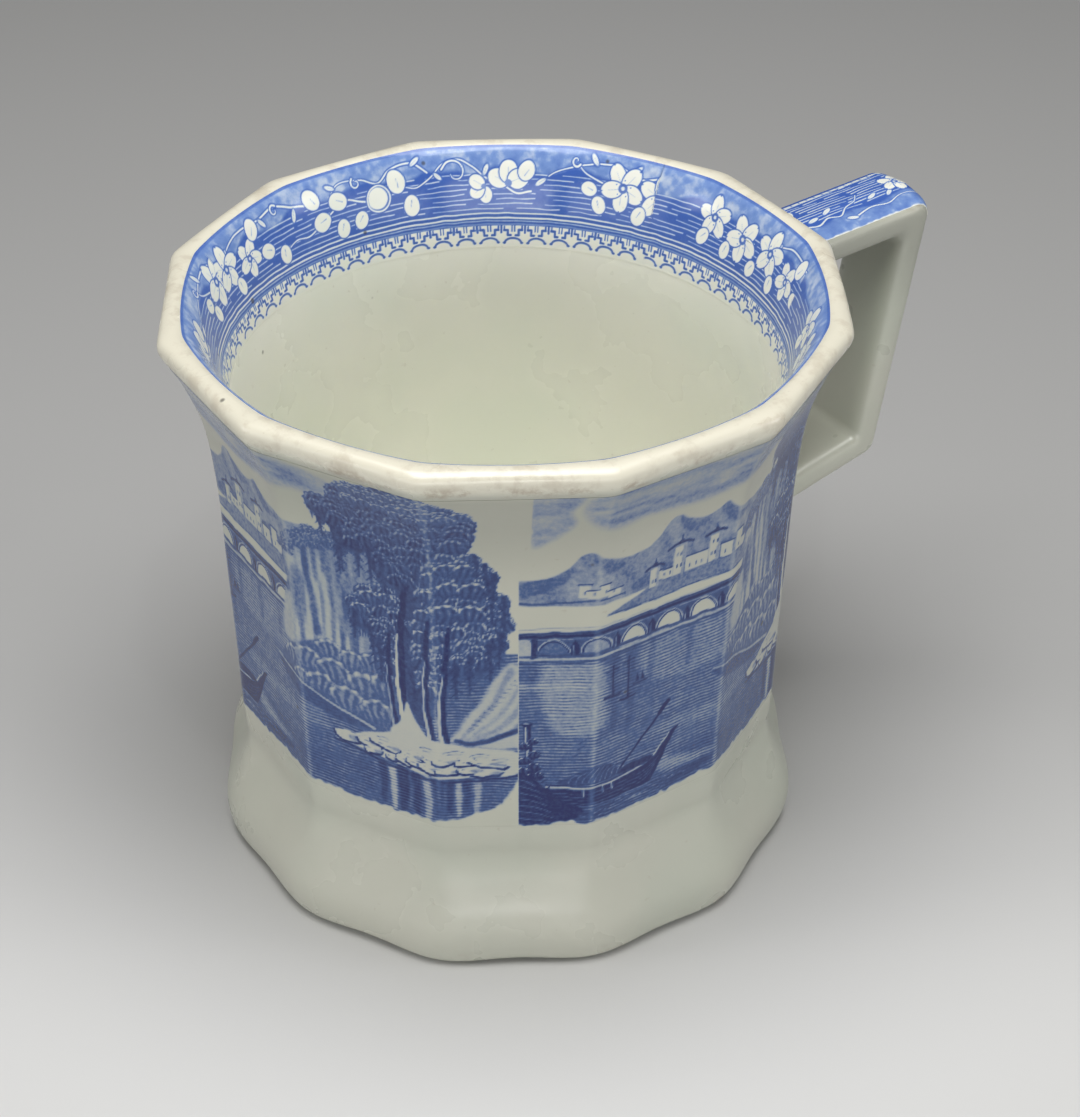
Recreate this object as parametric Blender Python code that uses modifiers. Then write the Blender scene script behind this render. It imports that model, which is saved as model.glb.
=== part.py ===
"""Twelve-sided shaving mug in white glazed earthenware, with a strap handle and printed decoration.

The mug stands on z = 0 with its axis on the world's Z axis, and its handle reaches out along +X.
It is assembled the way a potter makes it: a press-moulded faceted wall, a floor disc luted into the
foot with a roll of clay, a moulded strap handle stuck on with slip, and the transfer prints, which
are thin skins laid on the clay under the glaze. Sizes are in metres, and angles are in degrees.
"""
import math

import bmesh
import bpy

MM = 0.001

# Driving dimensions
FACETS = 12
HEIGHT = 90.0 * MM
RIM_RADIUS = 50.0 * MM          # axis to a corner of the lip
FLOOR_THICKNESS = 5.0 * MM
STRAP_WIDTH = 13.6 * MM
STRAP_THICKNESS = 5.4 * MM
FIT_GAP = 0.3 * MM              # clearance between pieces that touch on the real mug
SKIN_THICKNESS = 0.3 * MM       # stand-in thickness of a transfer print
FLOOR_GAP = 0.6 * MM            # clearance of the round floor disc inside the facetted bore

# Outline of the wall's outside: height, and radius at a corner of the twelve-sided section
OUTER_OUTLINE = (
    (0.0, 44.9), (0.6, 45.5), (3.5, 45.7), (7.0, 45.3), (11.0, 44.5), (15.0, 43.5), (18.0, 42.5),
    (20.5, 42.0), (24.0, 42.05), (36.0, 42.3), (50.0, 42.85), (63.0, 43.2), (74.0, 44.3),
    (81.0, 46.45), (85.4, 48.6), (88.2, 50.0), (89.5, 49.7), (90.0, 48.6),
)
# Outline of the bore, from the lip down to the foot: height and radius, round in section
BORE_OUTLINE = (
    (90.0, 46.4), (89.4, 45.3), (88.2, 44.4), (86.0, 43.4), (83.0, 42.2), (79.5, 41.0),
    (74.0, 39.8), (63.0, 38.9), (36.0, 38.3), (12.0, 37.9), (0.0, 37.6),
)
# Places round a facet where the section has a corner point, from the facet's middle
FACET_STEPS = (-13.0, 0.0, 13.0, 15.0)
CORNER_SHARPNESS = 200.0        # a higher power gives a tighter corner
ROUND_SEGMENTS = 48

# Printed transfers: where each begins round the mug, how far it runs, and its heights
OUTER_PRINTS = {"outer_print_right": -119.2, "outer_print_back": 49.0, "outer_print_left": 144.8}
OUTER_PRINT_SPAN = 95.0
OUTER_PRINT_HEIGHTS = (24.4 * MM, 85.4 * MM)
BORDER_PRINTS = {
    "inner_border_print_right": (-119.2, 96.4),
    "inner_border_print_handle_side": (-22.2, 47.4),
    "inner_border_print_back": (25.8, 107.2),
    "inner_border_print_left": (133.6, 106.6),
}
BORDER_PRINT_HEIGHTS = (74.8 * MM, 89.1 * MM)

# Centre line of the strap handle in the XZ plane: its two bends, and its ends inside the wall
HANDLE_TOP_END = (41.0 * MM, 82.0 * MM)
HANDLE_TOP_BEND = (70.6 * MM, 84.2 * MM)
HANDLE_LOW_BEND = (64.0 * MM, 45.2 * MM)
HANDLE_LOW_END = (38.0 * MM, 38.5 * MM)
OUTER_BEND_RADIUS = 2.4 * MM    # rounding of the strap's angular bends, outside and inside
INNER_BEND_RADIUS = 1.4 * MM
BEND_STEPS = 4
STRAP_EDGE_RADIUS = 1.6 * MM
SLIP_REACH = 2.2 * MM           # how far the slip joint stands out along the strap
SLIP_BEAD = 1.5 * MM            # how far it stands out around the strap
HANDLE_PRINT_END = 69.0 * MM
HANDLE_PRINT_START = 49.5 * MM
HANDLE_PRINT_WIDTH = 10.4 * MM
LUTING_ROLL_SIZE = 4.0 * MM

GLAZED_CLAY = ((0.78, 0.77, 0.68), 0.15)
SCENE_BLUE = ((0.16, 0.26, 0.50), 0.15)
BORDER_BLUE = ((0.08, 0.14, 0.50), 0.15)


def clear_scene():
    for old in list(bpy.data.objects):
        bpy.data.objects.remove(old, do_unlink=True)


def make_collection(name):
    group = bpy.data.collections.new(name)
    bpy.context.scene.collection.children.link(group)
    return group


def make_material(name, finish):
    colour, roughness = finish
    material = bpy.data.materials.new(name)
    material.use_nodes = True
    shader = material.node_tree.nodes["Principled BSDF"]
    shader.inputs["Base Color"].default_value = (*colour, 1.0)
    shader.inputs["Roughness"].default_value = roughness
    shader.inputs["Metallic"].default_value = 0.0
    return material


def add_object(name, mesh, group, finish=None):
    piece = bpy.data.objects.new(name, mesh)
    group.objects.link(piece)
    if finish:
        piece.data.materials.clear()
        piece.data.materials.append(make_material(name, finish))
    return piece


def hide_cutter(piece):
    piece.hide_render = True
    piece.display_type = "WIRE"
    return piece


def outline_radius(outline, height):
    """Radius of an outline at a height, along the straight runs between its points."""
    points = sorted(outline)
    z = height / MM
    for (z0, r0), (z1, r1) in zip(points, points[1:]):
        if z0 <= z <= z1 and z1 > z0:
            return MM * (r0 + (r1 - r0) * (z - z0) / (z1 - z0))
    raise ValueError(f"no radius at height {z:.1f} mm")


def facet_factor(azimuth):
    """Radius of the rounded twelve-sided section as a share of its sharp corner radius."""
    half = math.pi / FACETS
    total = 0.0
    for k in range(FACETS):
        reach = math.cos(math.radians(azimuth) - 2.0 * half * k)
        if reach > 0.0:
            total += reach ** CORNER_SHARPNESS
    return math.cos(half) * total ** (-1.0 / CORNER_SHARPNESS)


def section_azimuths(start=None, span=None):
    """Azimuths of the section's points, all round or over one stretch."""
    pitch = 360.0 / FACETS
    around = [pitch * k + step for k in range(-FACETS, FACETS + 1) for step in FACET_STEPS]
    if start is None:
        return [a for a in around if -FACET_STEPS[-1] < a <= 360.0 - FACET_STEPS[-1]]
    end = start + span
    return [start] + [a for a in around if start + 0.5 < a < end - 0.5] + [end]


def ring_points(radius, height, azimuths, faceted):
    points = []
    for azimuth in azimuths:
        r = radius * facet_factor(azimuth) if faceted else radius
        turn = math.radians(azimuth)
        points.append((r * math.cos(turn), r * math.sin(turn), height))
    return points


def loft(name, rings, around_closed=True, run_closed=True):
    """Skin a run of equal rings; a run that isn't closed is capped at both ends."""
    bm = bmesh.new()
    rows = [[bm.verts.new(point) for point in ring] for ring in rings]
    pairs = list(zip(rows, rows[1:]))
    if run_closed:
        pairs.append((rows[-1], rows[0]))
    for low, high in pairs:
        count = len(low)
        for i in range(count if around_closed else count - 1):
            j = (i + 1) % count
            bm.faces.new((low[i], low[j], high[j], high[i]))
    if not run_closed:
        bm.faces.new(rows[0])
        bm.faces.new(rows[-1])
    bmesh.ops.recalc_face_normals(bm, faces=bm.faces)
    mesh = bpy.data.meshes.new(name)
    bm.to_mesh(mesh)
    bm.free()
    return mesh


def wall_mesh():
    """The pressed wall: twelve flats outside, round inside, open at the top and at the foot."""
    azimuths = section_azimuths()
    rings = [ring_points(r * MM, z * MM, azimuths, True) for z, r in OUTER_OUTLINE]
    rings += [ring_points(r * MM, z * MM, azimuths, False) for z, r in BORE_OUTLINE]
    return loft("body_wall", rings)


def envelope_mesh(growth):
    """The wall's outside, filled and grown a little, which trims what is stuck on it."""
    azimuths = section_azimuths()
    rings = [ring_points(r * MM + growth, z * MM, azimuths, True)
             for z, r in OUTER_OUTLINE if 0.0 < z * MM < HEIGHT]
    return loft("wall_envelope", rings, run_closed=False)


def print_skin(name, outline, heights, start, span, faceted, inner, outer):
    """A thin skin over part of a wall surface, from an inner to an outer radius offset."""
    low, high = heights
    inside = sorted(z * MM for z, r in outline if low + 0.3 * MM < z * MM < high - 0.3 * MM)
    levels = [low] + inside + [high]
    azimuths = section_azimuths(start, span)
    rings = [ring_points(outline_radius(outline, z) + outer, z, azimuths, faceted) for z in levels]
    rings += [ring_points(outline_radius(outline, z) + inner, z, azimuths, faceted)
              for z in reversed(levels)]
    columns = [[ring[i] for ring in rings] for i in range(len(azimuths))]
    return loft(name, columns, run_closed=False)


def turned_piece(name, outline, group):
    """A turned solid: a profile that starts and ends on the axis, or a closed one clear of it."""
    bm = bmesh.new()
    verts = [bm.verts.new((r, 0.0, z)) for r, z in outline]
    for a, b in zip(verts, verts[1:]):
        bm.edges.new((a, b))
    if outline[0][0] > 0.0:
        bm.edges.new((verts[-1], verts[0]))
    mesh = bpy.data.meshes.new(name)
    bm.to_mesh(mesh)
    bm.free()
    piece = add_object(name, mesh, group)
    screw = piece.modifiers.new("turn", "SCREW")
    screw.steps = ROUND_SEGMENTS
    screw.render_steps = ROUND_SEGMENTS
    screw.use_merge_vertices = True
    screw.merge_threshold = 0.00001
    return piece


def unit(a, b):
    """Unit direction from one point of the XZ plane to another."""
    dx, dz = b[0] - a[0], b[1] - a[1]
    size = math.hypot(dx, dz)
    return dx / size, dz / size


def bend_points(before, corner, after, radius):
    """Points of the arc that rounds a bend between two straight runs."""
    inward = unit(corner, before)
    onward = unit(corner, after)
    half = 0.5 * math.acos(inward[0] * onward[0] + inward[1] * onward[1])
    setback = radius / math.tan(half)
    middle = (inward[0] + onward[0], inward[1] + onward[1])
    size = math.hypot(*middle)
    reach = radius / math.sin(half)
    centre = (corner[0] + middle[0] / size * reach, corner[1] + middle[1] / size * reach)
    first = math.atan2(corner[1] + inward[1] * setback - centre[1],
                       corner[0] + inward[0] * setback - centre[0])
    turn = 2.0 * half - math.pi
    return [(centre[0] + radius * math.cos(first + turn * i / BEND_STEPS),
             centre[1] + radius * math.sin(first + turn * i / BEND_STEPS))
            for i in range(BEND_STEPS + 1)]


def handle_corners(offset):
    """The handle's run, its straight stretches moved outward by an offset and mitred."""
    run = (HANDLE_TOP_END, HANDLE_TOP_BEND, HANDLE_LOW_BEND, HANDLE_LOW_END)
    outward = [(-unit(a, b)[1], unit(a, b)[0]) for a, b in zip(run, run[1:])]
    corners = [(run[0][0] + outward[0][0] * offset, run[0][1] + outward[0][1] * offset)]
    for corner, first, second in zip(run[1:3], outward, outward[1:]):
        share = offset / (1.0 + first[0] * second[0] + first[1] * second[1])
        corners.append((corner[0] + (first[0] + second[0]) * share,
                        corner[1] + (first[1] + second[1]) * share))
    corners.append((run[3][0] + outward[2][0] * offset, run[3][1] + outward[2][1] * offset))
    return corners


def handle_side(growth):
    """The handle seen from the side, as a closed outline, grown all round."""
    outline = []
    for sign, radius in ((1.0, OUTER_BEND_RADIUS + growth), (-1.0, INNER_BEND_RADIUS - growth)):
        corners = handle_corners(sign * (0.5 * STRAP_THICKNESS + growth))
        side = [corners[0]] + bend_points(*corners[:3], radius)
        side += bend_points(*corners[1:], radius) + [corners[3]]
        outline += side if sign > 0.0 else side[::-1]
    return outline


def flat_bar(name, outline, width, group):
    """An outline of the XZ plane made solid: a filled 2D curve extruded each way along Y."""
    curve = bpy.data.curves.new(name + "_outline", "CURVE")
    curve.dimensions = "2D"
    curve.fill_mode = "BOTH"
    curve.extrude = 0.5 * width
    spline = curve.splines.new("POLY")
    spline.points.add(len(outline) - 1)
    for point, (x, z) in zip(spline.points, outline):
        point.co = (x, z, 0.0, 1.0)
    spline.use_cyclic_u = True
    guide = add_object(name + "_outline", curve, group)
    guide.rotation_euler = (0.5 * math.pi, 0.0, 0.0)
    return mesh_of(guide, name)


def strap_section(growth):
    """Section of the strap with rounded edges, grown all round: (across, out)."""
    half_width = 0.5 * STRAP_WIDTH + growth
    half_thick = 0.5 * STRAP_THICKNESS + growth
    radius = STRAP_EDGE_RADIUS + growth
    corner_steps = 2
    points = []
    for sign_x, sign_y, first in ((1, -1, -90), (1, 1, 0), (-1, 1, 90), (-1, -1, 180)):
        for i in range(corner_steps + 1):
            turn = math.radians(first + 90.0 * i / corner_steps)
            points.append((sign_x * (half_width - radius) + radius * math.cos(turn),
                           sign_y * (half_thick - radius) + radius * math.sin(turn)))
    return points


def print_section():
    """Section of the print's skin above the strap's outer face: (across, out)."""
    half_width = 0.5 * HANDLE_PRINT_WIDTH
    base = 0.5 * STRAP_THICKNESS + FIT_GAP
    top = base + SKIN_THICKNESS
    return [(half_width, base), (half_width, top), (-half_width, top), (-half_width, base)]


def mesh_of(guide, name):
    """The closed mesh that a curve object makes, in world space; the curve itself is removed."""
    bpy.context.view_layer.update()
    graph = bpy.context.evaluated_depsgraph_get()
    mesh = bpy.data.meshes.new_from_object(guide.evaluated_get(graph))
    mesh.name = name
    bm = bmesh.new()
    bm.from_mesh(mesh)
    bm.transform(guide.matrix_world)
    bmesh.ops.remove_doubles(bm, verts=bm.verts, dist=0.00001)
    bmesh.ops.recalc_face_normals(bm, faces=bm.faces)
    bm.to_mesh(mesh)
    bm.free()
    bpy.data.objects.remove(guide, do_unlink=True)
    return mesh


def sweep(name, path, section, group):
    """A section swept along a path in the XZ plane, as a curve with a bevel object, then a mesh."""
    profile_curve = bpy.data.curves.new(name + "_section", "CURVE")
    profile_curve.dimensions = "2D"
    spline = profile_curve.splines.new("POLY")
    spline.points.add(len(section) - 1)
    for point, (across, out) in zip(spline.points, section):
        point.co = (across, out, 0.0, 1.0)
    spline.use_cyclic_u = True
    profile = add_object(name + "_section", profile_curve, group)

    path_curve = bpy.data.curves.new(name + "_path", "CURVE")
    path_curve.dimensions = "3D"
    path_curve.twist_mode = "MINIMUM"
    path_curve.bevel_mode = "OBJECT"
    path_curve.bevel_object = profile
    path_curve.use_fill_caps = True
    spline = path_curve.splines.new("POLY")
    spline.points.add(len(path) - 1)
    for point, (x, z) in zip(spline.points, path):
        point.co = (x, 0.0, z, 1.0)
    guide = add_object(name + "_path", path_curve, group)

    mesh = mesh_of(guide, name)
    bpy.data.objects.remove(profile, do_unlink=True)
    return mesh


def cut(piece, cutter):
    modifier = piece.modifiers.new("cut_by_" + cutter.name, "BOOLEAN")
    modifier.operation = "DIFFERENCE"
    modifier.solver = "EXACT"
    modifier.object = cutter


def slip_joint(name, path, trims, group, guides):
    """A collar of slip round one end of the strap, which sticks it to the wall."""
    collar = add_object(name, sweep(name, path, strap_section(SLIP_BEAD), guides), group, GLAZED_CLAY)
    for trim in trims:
        cut(collar, trim)
    return collar


def along(start, end, distance):
    direction = unit(start, end)
    return start[0] + direction[0] * distance, start[1] + direction[1] * distance


def build_wall_and_floor(group):
    add_object("body_wall", wall_mesh(), group, GLAZED_CLAY)
    disc_radius = outline_radius(BORE_OUTLINE, 0.0) - FLOOR_GAP
    chamfer = 0.4 * MM
    disc = turned_piece("base_disc", [
        (0.0, FLOOR_THICKNESS), (disc_radius - chamfer, FLOOR_THICKNESS),
        (disc_radius, FLOOR_THICKNESS - chamfer), (disc_radius, chamfer),
        (disc_radius - chamfer, 0.0), (0.0, 0.0)], group)
    disc.data.materials.append(make_material("base_disc", GLAZED_CLAY))

    low = FLOOR_THICKNESS + FIT_GAP
    size = LUTING_ROLL_SIZE
    hollow = [(disc_radius - size + size * math.sin(turn), low + size - size * math.cos(turn))
              for turn in (math.radians(22.5 * i) for i in range(5))]
    hollow[0] = (hollow[0][0], low + 0.3 * MM)
    hollow[-1] = (disc_radius - 0.3 * MM, hollow[-1][1])
    outline = [(disc_radius, low + size), (disc_radius, low), (disc_radius - size, low)] + hollow
    roll = turned_piece("base_luting_roll", outline, group)
    roll.data.materials.append(make_material("base_luting_roll", GLAZED_CLAY))


def build_handle(group, guides):
    envelope = hide_cutter(add_object("wall_envelope", envelope_mesh(1.4 * FIT_GAP), guides))
    clearance_mesh = flat_bar("strap_clearance", handle_side(FIT_GAP), STRAP_WIDTH + 2.0 * FIT_GAP,
                              guides)
    clearance = hide_cutter(add_object("strap_clearance", clearance_mesh, guides))

    strap_mesh = flat_bar("handle", handle_side(0.0), STRAP_WIDTH, guides)
    strap = add_object("handle", strap_mesh, group, GLAZED_CLAY)
    rounding = strap.modifiers.new("rounded_edges", "BEVEL")
    rounding.width = STRAP_EDGE_RADIUS
    rounding.segments = 2
    rounding.limit_method = "ANGLE"
    rounding.angle_limit = math.radians(60.0)
    cut(strap, envelope)

    top_contact = (outline_radius(OUTER_OUTLINE, HANDLE_TOP_END[1]) * facet_factor(0.0)
                   - HANDLE_TOP_END[0])
    top_path = [HANDLE_TOP_END, along(HANDLE_TOP_END, HANDLE_TOP_BEND, top_contact + SLIP_REACH)]
    slip_joint("handle_upper_slip", top_path, (clearance, envelope), group, guides)

    low_contact = (outline_radius(OUTER_OUTLINE, HANDLE_LOW_END[1]) * facet_factor(0.0)
                   - HANDLE_LOW_END[0])
    low_path = [along(HANDLE_LOW_END, HANDLE_LOW_BEND, low_contact + SLIP_REACH), HANDLE_LOW_END]
    slip_joint("handle_lower_slip", low_path, (clearance, envelope), group, guides)

    def point_at(x):
        share = (x - HANDLE_TOP_END[0]) / (HANDLE_TOP_BEND[0] - HANDLE_TOP_END[0])
        return x, HANDLE_TOP_END[1] + share * (HANDLE_TOP_BEND[1] - HANDLE_TOP_END[1])
    print_path = [point_at(HANDLE_PRINT_START), point_at(HANDLE_PRINT_END)]
    add_object("handle_print", sweep("handle_print", print_path, print_section(), guides),
               group, BORDER_BLUE)


def build_prints(group):
    near = 1.4 * FIT_GAP
    for name, start in OUTER_PRINTS.items():
        mesh = print_skin(name, OUTER_OUTLINE, OUTER_PRINT_HEIGHTS, start, OUTER_PRINT_SPAN,
                          True, near, near + SKIN_THICKNESS)
        add_object(name, mesh, group, SCENE_BLUE)
    for name, (start, span) in BORDER_PRINTS.items():
        mesh = print_skin(name, BORE_OUTLINE, BORDER_PRINT_HEIGHTS, start, span,
                          False, -near - SKIN_THICKNESS, -near)
        add_object(name, mesh, group, BORDER_BLUE)


def shade_round(group):
    for piece in group.objects:
        piece.data.shade_smooth()
        piece.data.set_sharp_from_angle(angle=math.radians(35.0))


def main():
    clear_scene()
    mug = make_collection("shaving_mug")
    guides = make_collection("guides")
    build_wall_and_floor(mug)
    build_handle(mug, guides)
    build_prints(mug)
    shade_round(mug)


main()
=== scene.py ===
"""Looks of the faceted shaving mug: glazed earthenware with blue transfer prints, on a pale floor.

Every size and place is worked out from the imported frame. Lengths in the shape code are millimetres,
and MM turns them into the scene's metres. The prints are drawn by functions in millimetres on the
clay, and reach the materials as one ink value at each point of a finely divided skin.
"""
import math

import bpy
import numpy as np
from mathutils import Matrix, Vector


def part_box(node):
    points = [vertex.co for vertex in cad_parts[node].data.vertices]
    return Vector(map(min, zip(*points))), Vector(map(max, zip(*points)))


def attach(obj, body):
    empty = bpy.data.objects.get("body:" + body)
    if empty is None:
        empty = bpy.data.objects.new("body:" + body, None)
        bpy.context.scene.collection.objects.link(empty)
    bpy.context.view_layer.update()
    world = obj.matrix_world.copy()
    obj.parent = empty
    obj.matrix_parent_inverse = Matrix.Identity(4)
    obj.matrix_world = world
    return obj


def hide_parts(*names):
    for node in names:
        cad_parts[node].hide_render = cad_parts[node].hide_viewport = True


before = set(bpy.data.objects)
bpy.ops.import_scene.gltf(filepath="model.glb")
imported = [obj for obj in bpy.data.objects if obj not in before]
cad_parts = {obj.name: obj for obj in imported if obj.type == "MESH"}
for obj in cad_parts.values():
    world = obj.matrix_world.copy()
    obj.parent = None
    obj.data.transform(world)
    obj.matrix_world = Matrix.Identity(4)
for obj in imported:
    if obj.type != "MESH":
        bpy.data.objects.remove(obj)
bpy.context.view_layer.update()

MM = 0.001
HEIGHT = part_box("body_wall")[1].z / MM
FACETS = 12
PITCH = 360.0 / FACETS
# The outlines below are for a mug 90 mm high, and follow the CAD wall's height
SIZE = HEIGHT / 90.0


# ---------------------------------------------------------------- shape of the clay

# Closed outline of the wall: height, radius at a corner, share of faceting, share of foot lobing.
# It runs up the outside from the foot, over the lip, down the bore and back under the foot.
WALL_OUTLINE = (
    (0.0, 43.6, 0.9, 1.0), (0.3, 44.8, 1.0, 1.0), (1.4, 45.6, 1.0, 1.0), (3.8, 46.15, 1.0, 1.0),
    (6.4, 46.05, 1.0, 1.0), (8.8, 45.35, 1.0, 1.0), (11.4, 44.1, 1.0, 0.9), (14.2, 42.85, 1.0, 0.7),
    (16.4, 41.95, 1.0, 0.45), (18.8, 41.55, 1.0, 0.2), (22.4, 41.9, 1.0, 0.0), (36.0, 42.3, 1.0, 0.0),
    (50.0, 42.8, 1.0, 0.0), (63.0, 43.25, 1.0, 0.0), (74.0, 44.35, 1.0, 0.0), (81.0, 46.5, 1.0, 0.0),
    (85.2, 48.5, 1.0, 0.0), (87.3, 49.75, 1.0, 0.0), (88.6, 49.95, 0.95, 0.0), (89.5, 49.4, 0.85, 0.0),
    (89.95, 48.3, 0.70, 0.0), (90.0, 47.1, 0.5, 0.0), (89.6, 46.0, 0.35, 0.0), (88.6, 44.9, 0.22, 0.0),
    (86.5, 43.6, 0.12, 0.0), (83.0, 42.2, 0.06, 0.0), (79.5, 41.0, 0.0, 0.0), (74.0, 39.8, 0.0, 0.0),
    (63.0, 38.9, 0.0, 0.0), (36.0, 38.3, 0.0, 0.0), (12.0, 37.9, 0.0, 0.0), (1.0, 37.6, 0.0, 0.0),
    (0.0, 38.6, 0.1, 0.0), (0.0, 41.2, 0.5, 0.4),
)
LIP_FIRST, LIP_LAST = 16, 24        # outline points with the finest rows
OUTSIDE_SPAN = (2, 18)              # outline points that bound the outside and the bore
BORE_SPAN = (21, 31)
LOBE_DEPTH = 0.36                   # how far the foot's flats sink in between its corners
ARCH_HEIGHT = 0.4                   # how far the foot's lower edge lifts between its corners
ARCH_REACH = 2.5                    # height over which that lift dies away
CORNER_SHARPNESS = 190.0
FOOT_SHARPNESS = 42.0
ROW_SPACING, FINE_SPACING = 0.8, 0.3
FLAT_STEP, CORNER_STEP = 2.5, 0.5   # degrees between columns on the flats and round the corners
CORNER_REACH = 3.51                 # degrees each side of a corner that have fine columns


def facet_factor(azimuth, sharpness):
    """Radius of a rounded twelve-sided section, as a share of its sharp corner radius."""
    turn = np.radians(azimuth)[..., None] - np.radians(PITCH) * np.arange(FACETS)
    reach = np.clip(np.cos(turn), 0.0, None)
    share = np.asarray(sharpness)[..., None]
    total = (reach ** share).sum(-1)
    return math.cos(math.pi / FACETS) * total ** (-1.0 / np.asarray(sharpness))


def spline(points, counts, closed=True):
    """Catmull-Rom curve through points, with its own number of steps for each stretch."""
    points = np.array(points, float)
    size = len(points)
    rows = []
    for i in range(size if closed else size - 1):
        p0, p1 = points[(i - 1) % size], points[i]
        p2, p3 = points[(i + 1) % size], points[(i + 2) % size]
        if not closed:
            p0 = points[max(i - 1, 0)]
            p3 = points[min(i + 2, size - 1)]
        t = np.arange(counts[i])[:, None] / counts[i]
        rows.append(0.5 * (2 * p1 + (p2 - p0) * t + (2 * p0 - 5 * p1 + 4 * p2 - p3) * t ** 2
                           + (3 * p1 - p0 - 3 * p2 + p3) * t ** 3))
    if not closed:
        rows.append(points[-1:])
    return np.concatenate(rows)


def wall_rows():
    """Dense outline of the wall, finer over the lip and foot, and where each point's rows start."""
    spacing = np.full(len(WALL_OUTLINE), ROW_SPACING)
    spacing[LIP_FIRST:LIP_LAST] = FINE_SPACING
    spacing[:3] = FINE_SPACING
    corners = np.array(WALL_OUTLINE)[:, :2]
    lengths = np.hypot(*(np.roll(corners, -1, axis=0) - corners).T)
    steps = np.maximum(2, np.ceil(lengths / spacing).astype(int))
    return spline(WALL_OUTLINE, steps), np.concatenate([[0], np.cumsum(steps)])


def hand_wobble(azimuth, height):
    """Slight unevenness of hand-finished clay, in millimetres."""
    turn = np.radians(azimuth)
    return (0.10 * np.sin(2 * turn + 0.7) + 0.07 * np.sin(3 * turn - 1.1 + height / 40.0)
            + 0.05 * np.sin(7 * turn + height / 17.0) + 0.03 * np.sin(13 * turn - height / 9.0))


def wall_points(azimuth, row):
    """Points of the wall for azimuths in degrees and outline rows (height, radius, facets, lobes)."""
    height, radius, faceting, lobing = (row[..., i] for i in range(4))
    sharpness = CORNER_SHARPNESS + (FOOT_SHARPNESS - CORNER_SHARPNESS) * lobing
    factor = 1.0 + faceting * (facet_factor(azimuth, sharpness) - 1.0)
    mid_facet = 0.5 + 0.5 * np.cos(np.radians(azimuth) * FACETS)
    reach = radius * factor - LOBE_DEPTH * lobing * mid_facet ** 1.5
    reach = reach + hand_wobble(azimuth, height) * faceting
    lift = ARCH_HEIGHT * mid_facet * np.clip(1.0 - height / ARCH_REACH, 0.0, 1.0) ** 2 * lobing
    turn = np.radians(azimuth)
    points = np.stack([reach * np.cos(turn), reach * np.sin(turn), np.maximum(height, 0.0) + lift], -1)
    return points * SIZE * MM


def facet_azimuths():
    """Azimuths with fine steps round the corners and coarse steps on the flats."""
    places = []
    azimuth = 0.0
    while azimuth < 360.0 - 1e-6:
        places.append(azimuth)
        from_corner = abs((azimuth % PITCH) - PITCH / 2)
        azimuth += CORNER_STEP if from_corner < CORNER_REACH else FLAT_STEP
    return np.array(places)


ROWS, ROW_STARTS = wall_rows()
OUTSIDE = ROWS[ROW_STARTS[OUTSIDE_SPAN[0]]:ROW_STARTS[OUTSIDE_SPAN[1]] + 1]
BORE = ROWS[ROW_STARTS[BORE_SPAN[0]]:ROW_STARTS[BORE_SPAN[1]] + 1][::-1]


def surface_points(azimuth, height, table):
    """Points on the outside or the bore at given azimuths and heights."""
    row = np.stack([height] + [np.interp(height, table[:, 0], table[:, i]) for i in (1, 2, 3)], -1)
    return wall_points(azimuth, row)


# ---------------------------------------------------------------- meshes

def finish_piece(name, mesh, material, node):
    """Put a mesh in the scene in the place of one CAD node."""
    mesh.shade_smooth()
    mesh.materials.append(material)
    piece = bpy.data.objects.new(name, mesh)
    bpy.context.scene.collection.objects.link(piece)
    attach(piece, "root")
    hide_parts(node)


def grid_faces(rows, columns, wrap_rows=False, wrap_columns=False, first=0, flip=False):
    """Quads over a grid of vertices numbered row by row."""
    r = np.arange(rows if wrap_rows else rows - 1)
    c = np.arange(columns if wrap_columns else columns - 1)
    r, c = np.meshgrid(r, c, indexing="ij")
    r2, c2 = (r + 1) % rows, (c + 1) % columns
    quads = np.stack([r * columns + c, r * columns + c2, r2 * columns + c2, r2 * columns + c], -1)
    quads = quads.reshape(-1, 4) + first
    return quads[:, ::-1] if flip else quads


def mesh_from_arrays(name, vertices, quads, others=()):
    """A mesh from many quads, and any faces with other numbers of corners."""
    vertices = np.asarray(vertices, np.float32).reshape(-1, 3)
    sizes = [4] * len(quads) + [len(face) for face in others]
    corners = np.concatenate([np.asarray(quads).ravel()] + [np.asarray(face) for face in others])
    mesh = bpy.data.meshes.new(name)
    mesh.vertices.add(len(vertices))
    mesh.vertices.foreach_set("co", vertices.ravel())
    mesh.loops.add(len(corners))
    mesh.loops.foreach_set("vertex_index", corners.astype(np.int32))
    mesh.polygons.add(len(sizes))
    starts = np.concatenate([[0], np.cumsum(sizes)[:-1]]).astype(np.int32)
    mesh.polygons.foreach_set("loop_start", starts)
    mesh.update(calc_edges=True)
    mesh.validate()
    return mesh


def add_values(mesh, name, values):
    layer = mesh.attributes.new(name, "FLOAT", "POINT")
    layer.data.foreach_set("value", np.asarray(values, np.float32).ravel())


def mark_sharp(mesh, degrees):
    mesh.set_sharp_from_angle(angle=math.radians(degrees))


def make_wall(material):
    azimuths = facet_azimuths()
    points = wall_points(azimuths[None, :], ROWS[:, None, :])
    rows, columns = points.shape[:2]
    quads = grid_faces(rows, columns, True, True)
    mesh = mesh_from_arrays("glazed_wall", points, quads)
    row = np.arange(rows)
    first, last = ROW_STARTS[LIP_LAST - 1], ROW_STARTS[LIP_LAST + 1]
    inside = smooth_step(row, first, last) * (row < ROW_STARTS[BORE_SPAN[1]])
    add_values(mesh, "inside", np.repeat(inside, columns))
    finish_piece("glazed_wall", mesh, material, "body_wall")


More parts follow.
